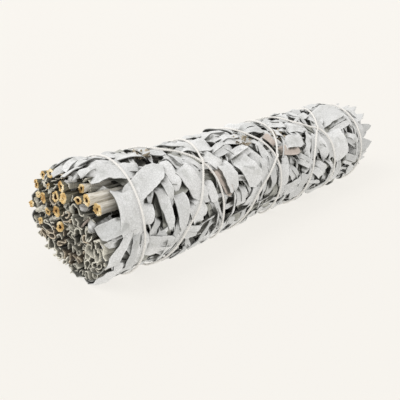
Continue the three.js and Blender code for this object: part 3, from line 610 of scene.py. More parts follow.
# Smaller leaves that show between them, on the side that faces -Y and up.
frontLeaves = [leafFrom(row) for row in [
    (-86, 85, -66, 73, 6, 0.2, 0.2), (-78, 101, -62, 93, 7, 0.3, 0.1), (-70, 88, -55, 76, 5, 0.4, -0.2),
    (-91, 3, -74, 13, 6, 0.6, 0.2), (-80, -2, -73, -31, 4.5, 0.8, 0.2), (-68, 30, -72, 8, 4.5, 0.4, 0.2),
    (-65, 12, -71, -5, 4, 0.3, -0.3), (-63, 0, -70, -13, 4, 0.2, 0.3), (-75, -12, -57, -23, 9, 0, 0.1),
    (-61, 44, -60, -9, 4.8, 0.5, -0.1), (-57.5, 60, -57, 18, 3.6, 0.1, 0.2),
    (-53.5, 68, -52, 26, 5.2, 0.3, 0.2), (-47, 21, -41, -13, 9, 0, 0.1),
    (-48, 75, -44, 49, 5.5, 0.4, -0.1), (-58, 92, -44, 77, 6, 0.2, 0.2),
    (-43, 66, -36, 38, 6, 0, 0.1), (-36, 31, -33, 3, 4.2, 0.3, 0.3), (-60, -8, -39, -21, 5.5, 0, 0.2),
    (-27, 55, -11, 63, 6, 0.4, 0.2), (-31, 62, -25, 36, 5, 0.2, 0.3), (-18, 46, -3, 53, 6, 0.4, -0.2),
    (-8, 47, 2, 9, 5, 0.3, 0.3), (-16, 14, -18, -15, 5.5, 0.2, -0.2), (-4, 9, -12, -21, 6, 0.4, 0.2),
    (-22, 88, -3, 79, 8, 0.4, 0.1), (-16, 73, -2, 66, 6, 0.1, 0.3), (2, 63, 3.5, 13, 3.8, 0.3, 0.3),
    (5.5, 40, 4, -8, 3.6, 0.5, -0.3), (12.5, 26, 11, -10, 5, 0.5, 0.1), (-0.5, 37, -2, 0, 4.2, 0, 0.3),
    (4, 86, 17, 72, 7, 0.4, 0.1), (24, 23, 35, 7, 5.5, 0.3, 0.3), (16, 17, 24, -8, 5.5, 0.4, -0.3),
    (20, 88, 35, 74, 9, 0.4, 0.1), (30, 71, 45, 58, 8, 0.3, 0.15), (29, -1, 13, -18, 5.5, 0.3, 0.2),
    (33, 22, 43, 55, 4.4, 0.3, 0.3), (37, 12, 46, 48, 4.4, 0.4, -0.3), (46, 47, 48, 3, 5.2, 0.3, 0.2),
    (51.5, 45, 53, 0, 5.2, 0.5, 0.1), (60, 46, 79, 52, 7, 0, 0.2), (70, 31, 80, 6, 6.5, 0.3, 0.3),
    (38, 2, 50, -18, 8, 0.3, 0.15), (64, 0, 80, -19, 7.5, 0.3, -0.1), (44, 84, 57, 89, 8, 0.3, 0.2),
    (60, 93, 79, 97, 9, 0.3, 0.1),
]]
# Straight leaves folded over the lower rim of the cut end, outside all the others.
rimLeaves = [leafFrom(row) for row in [
    (-72.5, 4, -75.5, -36, 3.0, 0.3, 0.5, 0.1), (-77, 8, -81.5, -34, 3.2, 0.5, 0.55, 0.1),
    (-80.5, 12, -90, -24, 3.4, 0.8, 0.6, 0.1), (-92.5, 16, -80, 19, 6, 0.9, -0.5, -0.3),
    (-84, -20, -89, -70, 3.6, 0.6, 0.5, 0.2), (-84, -50, -88, -80, 4.5, -0.6, 0.2, 0.1),
]]
# Narrow leaves over the upper rim of the cut end, under the large ones.
hoodLeaves = [leafFrom(row) for row in [
    (-89, 104, -74, 118, 3.6, 0.5, 0.5, 0.2), (-90, 122, -72, 140, 5, 0.4, 0.4, 0.2),
    (-90, 81, -80, 70, 2.6, 0.6, 0.5, 0.2), (-94, 98, -79, 90, 3.2, 0.8, 0.5, 0.3),
    (-94, 113, -76, 110, 4.2, 0.3, -0.5, 0.3), (-93.5, 138, -77, 128, 6, 0.6, 0.1, 0.2),
    (-93, 84, -81, 88, 2.8, 0.6, -0.6, 0.3), (-93.5, 160, -77, 150, 7, 0.6, 0.1, 0.2),
    (-93.5, 184, -78, 176, 7, 0.6, 0.1, 0.2), (-90, 92, -76, 102, 2.4, 1.2, 0.6, -0.4),
    (-86, 88, -70, 96, 3, 1.0, -0.6, -0.3), (-88, 76, -74, 80, 2.8, 0.9, 0.6, 0.3),
]]


notch = {"sides": (12, 62), "end": -77}  # at the butt, where stems show: degrees round it, and x in mm


def inNotch(x, angle):
    low, high = notch["sides"]
    return (x < notch["end"]) & (angle % 360 > low) & (angle % 360 < high)


def spineOf(leaf):
    t = np.array([0.08, 0.25, 0.42, 0.58, 0.75, 0.92])
    return leaf["x0"] + (leaf["x1"] - leaf["x0"]) * t, leaf["a0"] + (leaf["a1"] - leaf["a0"]) * t


def laidLeaves(seed, tries, length, width, lift, crowd, placed=(), limit=None):
    # leaves laid by rule: each random place is kept only where it has room beside the leaves already there
    random = seeded(seed)
    spines = [spineOf(leaf) for leaf in placed]
    xs, angles = [s[0] for s in spines], [s[1] for s in spines]
    widths = [leaf["width"] for leaf in placed]
    leaves = []
    for _ in range(tries):
        x = between(random, stemEnd + 6, tipEnd - 4)
        angle = between(random, 0, 360)
        heading = between(random, 0.9, 2.2) if random() < 0.75 else between(random, -0.4, 0.6)
        reach = between(random, *length) / 2
        swing = math.sin(heading) * reach / arc
        leaf = {"x0": x - math.cos(heading) * reach, "a0": angle + swing,
                "x1": x + math.cos(heading) * reach, "a1": angle - swing,
                "width": between(random, *width), "lift": between(random, *lift),
                "tilt": between(random, -0.28, 0.28), "crown": between(random, 0.1, 0.5),
                "bow": between(random, -1.5, 1.5), "tuck": leafForm["tuck"]}
        sx, sa = spineOf(leaf)
        if min(leaf["x0"], leaf["x1"]) < stemEnd + 2 or max(leaf["x0"], leaf["x1"]) > tipEnd - 2:
            continue
        if inNotch(sx, sa).any():
            continue
        if xs:
            turned = wrapped(sa[None, :, None] - np.array(angles)[:, None, :])
            apart = np.hypot(sx[None, :, None] - np.array(xs)[:, None, :], turned * arc).min(axis=(1, 2))
            if (apart < crowd * (leaf["width"] + np.array(widths)) / 2).any():
                continue
        xs.append(sx)
        angles.append(sa)
        widths.append(leaf["width"])
        leaves.append(leaf)
        if limit and len(leaves) >= limit:
            break
    return leaves


handPlaced = wrapLeaves + tanLeaves + frontLeaves
coverLeaves = laidLeaves(23, 3000, (18, 21), (8, 11), (0, 0.8), 0.74, handPlaced)
print("cover leaves:", len(coverLeaves))

# count, length, width and lift in mm, and how much of their width the leaves keep clear of each other
innerForm = {"count": 250, "length": (16, 30), "width": (4.5, 10), "lift": (-5.2, -3.2), "room": 0.2}
betweenForm = {"count": 280, "length": (15, 28), "width": (3.0, 7), "lift": (-3.2, -1.2), "room": 0.2}
shredForm = {"count": 400, "length": (12, 26), "width": (1.2, 3.4), "lift": (-1.6, 0.6), "room": 0.32}
flakeForm = {"count": 46, "length": (9, 17), "width": (4, 7.5), "lift": (0.7, 1.8), "room": 1.6}
strapForm = {"three": 9.6, "front": 5.4, "coverDrop": 1.0}  # mm wide for three straps, and to split at all


def family(form, seed, tilt, tuck):
    leaves = laidLeaves(seed, 5000, form["length"], form["width"], form["lift"], form["room"],
                        limit=form["count"])
    for leaf in leaves:
        leaf["tilt"] *= tilt
        leaf["crown"] *= -0.5  # margins turn up a little
        leaf["tuck"] = tuck
    return sorted(leaves, key=lambda leaf: leaf["lift"])


def turnedUp(leaves, tilt=1.4):  # the solid model's leaves, with their margins turned up as they dried
    return [dict(leaf, crown=-0.8 * leaf["crown"], tilt=tilt * leaf["tilt"]) for leaf in leaves]


def straps(leaf, random):  # a wide leaf split lengthwise into two or three narrow straps side by side
    count = 2 if leaf["width"] < strapForm["three"] else 3
    dx, dy, length = runOf(leaf)
    parts = []
    for k in range(count):
        side = (k - (count - 1) / 2) * leaf["width"] / count
        ends = {}
        for end in "01":
            aside = side + between(random, -0.9, 0.9)
            ends["x" + end] = leaf["x" + end] - dy / length * aside
            ends["a" + end] = leaf["a" + end] + dx / length * aside / arc
        shrink = between(random, 0.0, 0.14)
        ends["x0"] += (ends["x1"] - ends["x0"]) * shrink
        ends["a0"] += (ends["a1"] - ends["a0"]) * shrink
        parts.append(dict(leaf, width=leaf["width"] / count * between(random, 0.9, 1.2),
                          lift=leaf["lift"] + between(random, -0.5, 0.3),
                          tilt=between(random, 0.05, 0.45), **ends))
    return parts


def hidden(leaf):  # true away from the side with the large leaves, where no loose flakes lie
    middle = (leaf["a0"] + leaf["a1"]) / 2 % 360
    return 95 < middle < 340


def narrowed(leaf, random):
    return straps(leaf, random) if leaf["width"] > strapForm["front"] else [leaf]


random = seeded(5)
innerLeaves = family(innerForm, 7, 1.5, 1.2)
betweenLeaves = family(betweenForm, 13, 1.8, 1.4)
shreds = family(shredForm, 37, 3.5, 0.8)
flakes = [leaf for leaf in family(flakeForm, 53, 1.2, 1.4) if hidden(leaf)]
innerSheets = [layLeaf(leaf, random, 0.3 * n / len(innerLeaves)) for n, leaf in enumerate(innerLeaves)]
betweenSheets = [layLeaf(leaf, random, 0.3 + 0.25 * n / len(betweenLeaves))
                 for n, leaf in enumerate(betweenLeaves)]
coverStraps = [dict(strap, lift=strap["lift"] - strapForm["coverDrop"])
               for leaf in turnedUp(coverLeaves) for strap in straps(leaf, random)]
coverSheets = [layLeaf(leaf, random, 0.65, 1.2) for leaf in coverStraps]
shredSheets = [layLeaf(leaf, random, 0.72) for leaf in shreds]
frontStraps = [strap for leaf in turnedUp(frontLeaves) for strap in narrowed(leaf, random)]
frontSheets = [layLeaf(leaf, random, 0.82, clearance=0.8) for leaf in frontStraps]
flakeSheets = [layLeaf(leaf, random, 0.9) for leaf in flakes]
tanSheets = [layLeaf(dict(leaf, tone=0.6), random, 0.95, stiff=0.4) for leaf in turnedUp(tanLeaves, 1)]
hoodSheets = [layLeaf(dict(leaf, tone=between(random, 0.2, 0.95), tuck=1.0), random, 1.0, clearance=0.7)
              for leaf in hoodLeaves]
# the wrap leaf under the rim leaves gets a tone 0.9 lower: painted shade
wrapSheets = [layLeaf(dict(leaf, tone=between(random, 0.6, 0.95) - 0.9 * (i == underRim)), random,
                      -0.6 if i == underRim else 1.0, clearance=0.8)
              for i, leaf in enumerate(turnedUp(wrapLeaves, 1))]
rimSheets = [layLeaf(dict(leaf, tone=(0.85, 0.3)[i % 2], tuck=1.2), random, 1.0, 0.5, clearance=1.5)
             for i, leaf in enumerate(rimLeaves)]
outerSheets = (betweenSheets + coverSheets + shredSheets + frontSheets + flakeSheets + tanSheets
               + hoodSheets + wrapSheets + rimSheets)
# paint shade beside the edges of higher leaves
paintShadeNearEdges(outerSheets)
print("leaves laid:", len(innerSheets + outerSheets))

for name, sheets, felt in (
        ("innerLeaves", innerSheets, paintedShadeFelt), ("betweenLeaves", betweenSheets, shadedInnerFelt),
        ("coverLeaves", coverSheets, sageFelt), ("leafShreds", shredSheets, sageFelt),
        ("looseFlakes", flakeSheets, sageFelt), ("frontLeaves", frontSheets, sageFelt),
        ("rimLeaves", hoodSheets + rimSheets, sageFelt)):
    place(sheetsPiece(name, sheets, felt), "leaf_bunch")
for n, sheet in enumerate(wrapSheets, 1):
    place(sheetsPiece(f"wrapLeaf{n:02d}", [sheet], sageFelt), f"wrap_leaf_{n:02d}")
for n, sheet in enumerate(tanSheets, 1):
    place(sheetsPiece(f"tanLeaf{n:02d}", [sheet], tanFelt), f"tan_leaf_{n:02d}")


middleForm = {"ends": (-78, 85), "sides": 96, "stations": 110, "waves": (3.1, 5.2, 8.7, 13.0), "wave": 0.8}


def packedMiddle():  # the crushed leaves deep inside, painted near black as painted shade where little light reaches
    sides, stations, (start, end) = middleForm["sides"], middleForm["stations"], middleForm["ends"]
    s = np.linspace(0, 1, stations)[:, None] + np.zeros((1, sides))
    angle = np.linspace(0, 360, sides, endpoint=False)[None, :] + np.zeros((stations, 1))
    x = start + (end - start) * s
    rounded = np.sqrt(np.clip(1 - (np.abs(2 * s - 1) ** 14), 0, 1))
    waves = middleForm["wave"] * ripple(x, angle * arc, 2.0, middleForm["waves"])
    radius = (radiusAt(x, angle) - packedDepth + waves) * rounded
    points = onBunch(x, angle, radius)
    points[..., 2] = np.maximum(points[..., 2], 1.4)
    flat = points.reshape(-1, 3)
    return pieceFrom("packedMiddle", flat, ringFaces(stations, sides), [paintedShadeFelt],
                     tone=np.full(len(flat), 0.15),
                     grain=np.stack([x, angle * arc, x * 0], -1).reshape(-1, 3))


place(packedMiddle(), "leaf_bunch")
print("sides done")

# The cut end
foldForm = {
    "step": 0.6,  # mm between points along a fold's edge
    "thickness": 0.42,
    "tries": 4200,
    "longTries": 900,  # of which the first are kept only if long
    "room": 0.85,  # mm kept clear of the folds already there
    "stemRoom": 0.6,
    "reach": (12, 24),
    "swing": (0.9, 2.1),  # how far the edge turns to and fro, in radians
    "wave": (6, 13),
    "broad": 1.7,  # how much larger the folds are low at the front
    "outermost": 23.0,  # mm from the axis
    "rimFrom": 19,
    "paintedLitDepth": (0.12, 0.5),  # mm below the cut edge over which a fold is painted pale, a painted light; further in it is painted dark, a painted shade
    "depths": (0, 0.12, 0.35, 0.9, 2, 4, 7, 11, 16),  # the rows of points behind that edge
    "lowFront": 325,  # degrees round the end, where the folds are broad
    "underneath": 290,  # where the end is cut furthest back
    "cutBack": 7,  # by as many mm
}
# Cut stems: y and height of the cut end, how far it is cut back from the furthest one, and its radius.
stemRows = [
    (5.2, 45, 1, 1.6), (9.9, 43.2, 0.5, 1.4), (15, 38.3, 0.3, 1.6), (8.4, 39, 1.5, 1.1), (-1.4, 41.6, 1, 1.8),
    (-6.3, 40.7, 6.5, 1.6), (11.3, 33.5, 0.5, 1.8), (2.3, 36.6, 0.5, 1.9), (-2.4, 37.3, 0.8, 1.9),
    (-8, 37.4, 3.5, 1.5), (-11.4, 38, 5, 1.9), (-14.1, 34.4, 7.5, 2), (20.6, 28.3, 0.3, 1.4),
    (3.5, 30.1, 1, 1.8), (9.4, 28.3, 0.7, 1.5), (16.1, 22.2, 1, 1.4), (3.6, 23.3, 2, 2),
    (16, 33.4, 1.2, 1.3),
]


def meander(fold, draw):  # the line of a folded leaf across the cut end, swinging to and fro in S bends
    count = max(8, round(fold["reach"] / foldForm["step"]) + 1)
    run = np.linspace(-0.5, 0.5, count) * fold["reach"]
    swing = between(draw, *foldForm["swing"])
    wave = between(draw, *foldForm["wave"]) * fold["broad"]
    phase = between(draw, 0, 6.3)
    turn = fold["heading"] + swing * np.sin(2 * np.pi * run / wave + phase) + between(draw, -0.04, 0.04) * run
    y, z = np.cumsum(-np.cos(turn)) * foldForm["step"], np.cumsum(np.sin(turn)) * foldForm["step"]
    line = np.stack([y - y[count // 2] + fold["centre"][0], z - z[count // 2] + fold["centre"][1]], 1)
    r = np.hypot(line[:, 0], line[:, 1])
    return line * np.minimum(1, foldForm["outermost"] / np.maximum(r, 1e-6))[:, None]


def foldSheet(fold, random):  # a leaf folded in along the bunch: its edge meanders across the cut end
    line = fold["line"]
    depth = np.array(foldForm["depths"])[:, None]
    t = sheetGrid(len(depth), len(line))[1] / 2
    phase = between(random, 0, 6)
    along = t * fold["reach"]
    front = fold["front"] + 0.6 * np.sin(along * 0.5 + phase) + 0.2 * np.sin(along * 1.7)
    x = front + depth
    lean = np.array([between(random, -0.25, 0.25), between(random, -0.25, 0.25)])
    squeeze = 1 - 0.004 * depth
    y = (line[None, :, 0] + lean[0] * np.minimum(depth, 6)) * squeeze
    z = (line[None, :, 1] + lean[1] * np.minimum(depth, 6)) * squeeze
    r = np.hypot(y, z)
    limit = radiusAt(x, 0 * x) - 0.4
    shrink = np.minimum(1, limit / np.maximum(r, 1e-6))
    grid = np.stack([x, y * shrink, axisHeight(stemEnd) + z * shrink], -1)
    grid[..., 2] = np.maximum(grid[..., 2], 0.6)
    # painted light on the cut edge, fading into painted shade further in
    tone = np.clip(fold["tone"] + 0.75 * np.exp(-(depth / fold["paintedLitDepth"]) ** 2), 0, 1)
    grain = np.stack([x, along, t * 0 + phase], -1)
    return {"points": grid, "thickness": foldForm["thickness"], "tone": tone, "grain": grain, "under": 1}


def longestRun(clear):  # the first and last place of the longest unbroken stretch
    best, start = (0, 0), None
    for n, good in enumerate(list(clear) + [False]):
        if good and start is None:
            start = n
        elif not good and start is not None:
            best = max(best, (start, n), key=lambda run: run[1] - run[0])
            start = None
    return best


def foldedLeaves():  # packed close below the stems and round the rim, with shreds between the stems
    draw = seeded(83)
    folds, taken = [], np.full((1, 2), 99.0)
    stems = np.array([(row[0], row[1] - axisHeight(stemEnd)) for row in stemRows])
    cutBacks = np.array([row[2] for row in stemRows])
    reaches = np.array([row[3] for row in stemRows]) + foldForm["stemRoom"]
    outermost = foldForm["outermost"]
    for attempt in range(foldForm["tries"]):
        angle = between(draw, 0, 2 * math.pi)
        r = (outermost - 0.2) * math.sqrt(between(draw, 0.0, 1))
        y, z = -r * math.cos(angle), r * math.sin(angle)
        rim = r > foldForm["rimFrom"]
        around = between(draw, -0.4, 0.4) if rim else between(draw, -1.6, 1.6)
        lowFront = r > 8 and math.cos(angle - math.radians(foldForm["lowFront"])) > 0.8
        broad = foldForm["broad"] if lowFront else 1.0
        fold = {"centre": (y, z), "heading": angle + math.pi / 2 + around, "broad": broad,
                "reach": between(draw, *foldForm["reach"]) * broad}
        line = meander(fold, draw)
        turned = np.degrees(np.arctan2(line[:, 1], -line[:, 0])) % 360
        far = np.hypot(line[:, 0], line[:, 1])
        clear = np.linalg.norm(line[:, None] - taken[None], axis=2).min(1) > foldForm["room"] * broad
        clear &= (np.linalg.norm(line[:, None] - stems[None], axis=2) > reaches).all(1)
        clear &= ~((far > 16) & (turned > notch["sides"][0] - 4) & (turned < notch["sides"][1]))
        clear &= far < outermost - 0.05 - 0.5 * draw()
        first, last = longestRun(clear)
        if last - first < (9 if attempt < foldForm["longTries"] else 5):
            continue
        line = line[first:last]
        y, z = line.mean(0)
        low = ((1 + math.cos(math.atan2(z, -y) - math.radians(foldForm["underneath"]))) / 2) ** 3
        fold["line"], fold["reach"] = line, len(line) * foldForm["step"]
        fold["front"] = stemEnd - 1.2 + foldForm["cutBack"] * low + between(draw, -0.5, 0.6)
        # a dark base tone, painted shade, raised at the rim and on the broad folds low at the front
        fold["tone"] = between(draw, 0, 0.22) + 0.25 * rim + 0.4 * (broad - 1)
        fold["paintedLitDepth"] = between(draw, *foldForm["paintedLitDepth"]) * broad ** 2
        fold["brown"] = draw() < (0.38 if math.hypot(y, z) < 17 else 0.12)
        if 10 < math.degrees(math.atan2(z, -y)) < 80:  # the notch is cut deeper towards the outside
            fold["front"] += 0.9 * max(0, math.hypot(y, z) - 9)
        nearest = np.hypot(stems[:, 0] - y, stems[:, 1] - z)
        if nearest.min() < 4.5:
            fold["front"] = stemEnd + cutBacks[nearest.argmin()] + between(draw, -2.2, 0.6)
        taken = np.vstack([taken, line])
        folds.append(fold)
    return folds


# Scraps of leaf caught between the stems: both ends of the middle line in mm, width, turn about that line in
# degrees, and how far the sides curl over.
scrapRows = [
    (-91, -2.9, 44.0, -88, -1.6, 38.4, 4.6, 20, 0.5), (-83, -9.9, 39.8, -77, -9.0, 36.6, 4.6, -30, 0.3),
    (-81, -9.6, 31.8, -85.5, -15.9, 26.4, 6.4, 25, 0.3),
    (-87.5, -12.0, 30.2, -90.5, -14.5, 26.4, 4.2, 15, 0.8),
    (-90.5, -8.5, 34.6, -86, -9.1, 33.6, 3.2, 10, 0.5), (-91, -3.8, 45.4, -87, -3.3, 42.2, 3.0, 40, 0.9),
    (-90, -7.2, 28.8, -85, -7.3, 31.4, 3.4, 25, 0.6), (-85, -8.2, 39.6, -82, -6.4, 37.0, 3.2, 35, 0.5),
    (-91.5, -4.2, 34.2, -90.5, -3.9, 28.9, 2.6, 30, 0.9),
    (-92.5, -1.4, 30.5, -90.5, -4.0, 32.5, 2.0, -35, 0.7),
    (-91.5, -1.8, 26.4, -90.5, -3.9, 23.9, 2.6, 20, 0.8), (-92, -0.1, 23.5, -89, -4.6, 26.8, 1.8, 50, 0.6),
    (-93, 9.4, 36.2, -92, 5.8, 38.4, 2.2, 30, 0.5), (-90, -10.8, 27.4, -86.5, -12.8, 23.6, 3.4, 60, 0.8),
    (-94, 17.7, 26.0, -92.5, 12.2, 29.6, 2.2, -20, 0.6), (-93, -1.8, 33.4, -90, -1.4, 35.6, 2.0, 40, 0.6),
    (-94, 17.2, 32.1, -93, 15.9, 27.8, 2.2, 60, 0.5), (-93, 9.6, 24.3, -91, 3.5, 27.4, 2.4, -30, 0.7),
    (-92.5, 7.2, 33.5, -91.5, 5.4, 29.6, 2.0, 20, 0.6), (-92.5, 12.6, 39.8, -91.5, 10.6, 36.4, 2.2, -40, 0.5),
]
paleScraps = 6  # the first rows, which catch the light, get the pale felt as painted light; the rest get the dark folded felt as painted shade
twigRows = [
    (-91, -8.2, 26.4, -86, -9.9, 30.6, 1.5, 0, 0.9), (-90.5, -6.6, 27.2, -86, -8.9, 29.6, 1.1, 50, 0.9),
]


def scrapSheet(row, random, tone):
    start, end, (width, turn, curl) = Vector(row[0:3]), Vector(row[3:6]), row[6:9]
    ahead = (end - start).normalized()
    outward = Vector((-0.75, -0.5, 0.4))
    across = ahead.cross(outward).normalized()
    out = across.cross(ahead)
    turn = math.radians(turn)
    c, s = math.cos(turn), math.sin(turn)
    across, out = across * c + out * s, out * c - across * s
    u, v = sheetGrid(14, 11)
    v = -v  # so that the felted face looks outward
    phase, length = between(random, 0, 20), (end - start).length
    half = width / 2 * np.interp(u, [0, 0.12, 0.5, 0.85, 1], [0.45, 0.9, 1, 0.8, 0.3])
    half = half * (1 + 0.12 * ripple(u * length, np.sign(v) * 4.0, phase, (1.9, 3.3)) * np.abs(v))
    bend = curl * np.pi / 2 * v
    side, rise = half * np.sin(bend) / max(curl * math.pi / 2, 0.1), half * (np.cos(bend) - 1)
    rise = rise + 0.55 * ripple(u * length, v * half, phase, (1.9, 3.1, 4.6)) + 0.5 * np.sin(np.pi * u)
    points = np.array(start)[None, None] + (np.array(end) - np.array(start))[None, None] * u[..., None]
    points = points + np.array(across) * side[..., None] + np.array(out) * rise[..., None]
    grain = np.stack([u * length, v * half, np.full_like(u, phase)], -1)
    # painted shade, darker towards the inner end of each scrap and a little uneven, and a painted highlight
    # along the rim
    inwardPaintedShade = 0.7 * u ** 2 - 0.1 + 0.3 * ripple(u * length, v * half, phase, (1.6, 2.9))
    return {"points": points, "thickness": 0.4, "tone": tone + 0.15 * np.abs(v) ** 4, "grain": grain,
            "under": 0.4, "paintedShade": np.clip(inwardPaintedShade, 0, 0.7), "paintedShadeUnder": leafForm["underPaintedShade"]}


random = seeded(67)
scraps = [scrapSheet(row, random, between(random, 0.5, 0.9)) for row in scrapRows]
twigs = [scrapSheet(row, random, 0.4) for row in twigRows]
place(sheetsPiece("paleScraps", scraps[:paleScraps], sageFelt), "leaf_bunch")
place(sheetsPiece("leafScraps", scraps[paleScraps:], foldedFelt), "leaf_bunch")
place(sheetsPiece("tanScraps", twigs, tanFelt), "leaf_bunch")

random = seeded(91)
folds = foldedLeaves()
print("folded leaves:", len(folds))
foldSheets = [foldSheet(fold, random) for fold in folds]
for name, brown, felt in (("foldedLeaves", False, foldedFelt), ("brownFolds", True, brownFelt)):
    chosen = [sheet for fold, sheet in zip(folds, foldSheets) if fold["brown"] == brown]
    place(sheetsPiece(name, chosen, felt), "leaf_bunch")

stemForm = {"sides": 24, "reach": 2.5, "length": 112.0, "gather": 0.62, "pithDepth": 4.0, "shown": 34.0,
            "ridges": 0.025, "frayed": 1.08}


def cutStem(name, y, z, cutBack, radius, seed):
    draw = seeded(seed)
    outer = Vector((stemEnd - stemForm["reach"] + cutBack, y, z))
    innerX = stemEnd + stemForm["length"]
    inner = Vector((innerX, y * stemForm["gather"],
                    axisHeight(innerX) + (z - axisHeight(stemEnd)) * stemForm["gather"]))
    back = (inner - outer).normalized()
    side = back.cross(Vector((0, 0, 1))).normalized()
    up = side.cross(back)
    sides = stemForm["sides"]
    pith = between(draw, 0.24, 0.6)
    squareTurn, slant, slantTurn = between(draw, 0, 6.3), between(draw, 0.05, 0.4), between(draw, 0, 6.3)
    # profile: distance back from the cut, and share of the radius
    hole, shown = stemForm["pithDepth"], stemForm["shown"]
    profile = [(hole, 0.02), (hole, pith * 0.7), (1.4, pith * 0.9), (0.35, pith), (0.0, pith + 0.09),
               (0.12, 0.66), (-0.1, 0.8), (0.05, 0.95), (0.3, 1.06), (0.9, 1.07), (2, 1.0), (4, 0.97),
               (7, 1.02), (11, 0.98), (16, 0.95), (24, 0.9), (shown, 0.85), (shown, 0.02)]
    points = []
    for deep, share in profile:
        for k in range(sides):
            a = 2 * math.pi * k / sides
            ridge = 0.05 * math.cos(4 * (a + squareTurn)) + stemForm["ridges"] * math.sin(9 * a + squareTurn)
            ridge = 1 + ridge * (share > 0.75)
            frayed = max(0, 1 - deep / 1.2) * (share > 0.3)
            chip = slant * math.cos(a + slantTurn) * share
            chip += frayed * (0.16 * math.sin(4 * a + slant * 40) + 0.2 * math.sin(9 * a + slantTurn * 3))
            crush = 1 + 0.1 * math.sin(2 * a + slantTurn * 5) + frayed * 0.04 * math.sin(7 * a + squareTurn)
            off = radius * share * ridge * crush * (1 + (stemForm["frayed"] - 1) * frayed)
            wander = 0.25 * math.sin(deep * 0.22 + squareTurn)
            p = outer + back * (deep + chip * max(0, 1 - deep / 3))
            p += side * (off * math.cos(a) + wander - 0.25 * math.sin(squareTurn)) + up * off * math.sin(a)
            points.append(p[:])
    kinds = [2] * (3 * sides) + [0] * (5 * sides) + [1] * ((len(profile) - 9) * sides)  # pith, wood, bark
    skin = litBark if cutBack >= 5 else bark  # lit and shaded copies of the bark: the stems in the notch get the pale bark as painted light, the others the dark bark as painted shade
    return pieceFrom(name, np.array(points), ringFaces(len(profile), sides), [wood, skin, pithWood], kinds)


for n, (y, z, cutBack, radius) in enumerate(stemRows, 1):
    place(cutStem(f"cutStem{n:02d}", y, z, cutBack, radius, 300 + n), f"stem_{n:02d}")
print("cut end done")

# Free leaf tips at the far end
# The leaves are rooted at one x and come free at another.
tipForm = {"root": 74.0, "free": 84.0, "rows": 16, "columns": 9, "thickness": 0.4}


def tipSheet(blade, random):
    root, free = tipForm["root"], tipForm["free"]
    reach = free - root + blade["length"]
    out, along = outAndAround(blade["angle"])
    c, s = math.cos(blade["roll"]), math.sin(blade["roll"])
    along = np.array([0, along[1] * c - along[2] * s, along[1] * s + along[2] * c])
    u, v = sheetGrid(tipForm["rows"], tipForm["columns"])
    phase = between(random, 0, 20)
    wide = np.interp(u, [0, 0.3, 0.6, 0.8, 0.92, 1], [0.75, 0.95, 1, 0.72, 0.4, 0.05])
    wide *= 1 + 0.06 * ripple(u * reach, np.sign(v) * 5.0, phase, (2.3, 4.1)) * np.abs(v) ** 2
    rise = blade["radius"] + blade["flare"] * reach * u - blade["cup"] * v * v * wide
    rise += 0.35 * np.sin(u * reach / 2.2 + phase) * np.abs(v) ** 2
    rise += 0.2 * ripple(u * reach, v * 4, phase, (3.1, 5.3))
    rise -= 0.25 * np.exp(-(v * wide * 4 / 0.6) ** 2)
    points = np.zeros(u.shape + (3,))
    points[..., 0] = root + reach * u
    points[..., 2] = axisHeight(free)
    points += out * rise[..., None] + along * (v * wide * blade["width"] / 2)[..., None]
    points[..., 2] = np.maximum(points[..., 2], 0.5)
    tone = between(random, 0.15, 0.9) + 0 * u
    return {"points": points, "thickness": tipForm["thickness"], "tone": tone,
            "grain": np.stack([u * reach * 0.8, v * blade["width"] / 2, u * 0 + phase], -1)}


def tipLeaves(seed, rings, spread):
    draw = seeded(seed)
    blades = []
    for share, count, reach in rings:
        for k in range(count):
            angle = 360 * (k + between(draw, -spread, spread)) / count
            blades.append({"angle": angle, "radius": float(radiusAt(tipForm["free"], angle)) * share,
                           "length": reach + between(draw, -3, 3), "width": between(draw, 5.5, 8.5),
                           "flare": between(draw, -0.05, 0.16) * share, "cup": between(draw, 0.5, 1.6),
                           "roll": between(draw, -0.5, 0.5)})
    return blades


random = seeded(17)
tips = tipLeaves(71, ((0.9, 10, 13), (0.55, 6, 12), (0.2, 2, 11)), 0.25)
tips += tipLeaves(29, ((0.92, 14, 11), (0.8, 10, 9), (0.66, 9, 9), (0.42, 8, 8), (0.25, 5, 8)), 0.4)
tipSheets = [tipSheet(blade, random) for blade in tips]
place(sheetsPiece("tipLeaves", tipSheets, sageFelt), "leaf_bunch")

# Dried flower buds
budForm = {"places": ((-4, 63), (21, 57), (-57, 82)), "cups": 20, "cupLength": 2.1, "cupRadius": 0.52,
           "spread": 2.4, "sunk": 0.6, "sides": 8, "turn": 2.39996}  # radians from one cup to the next


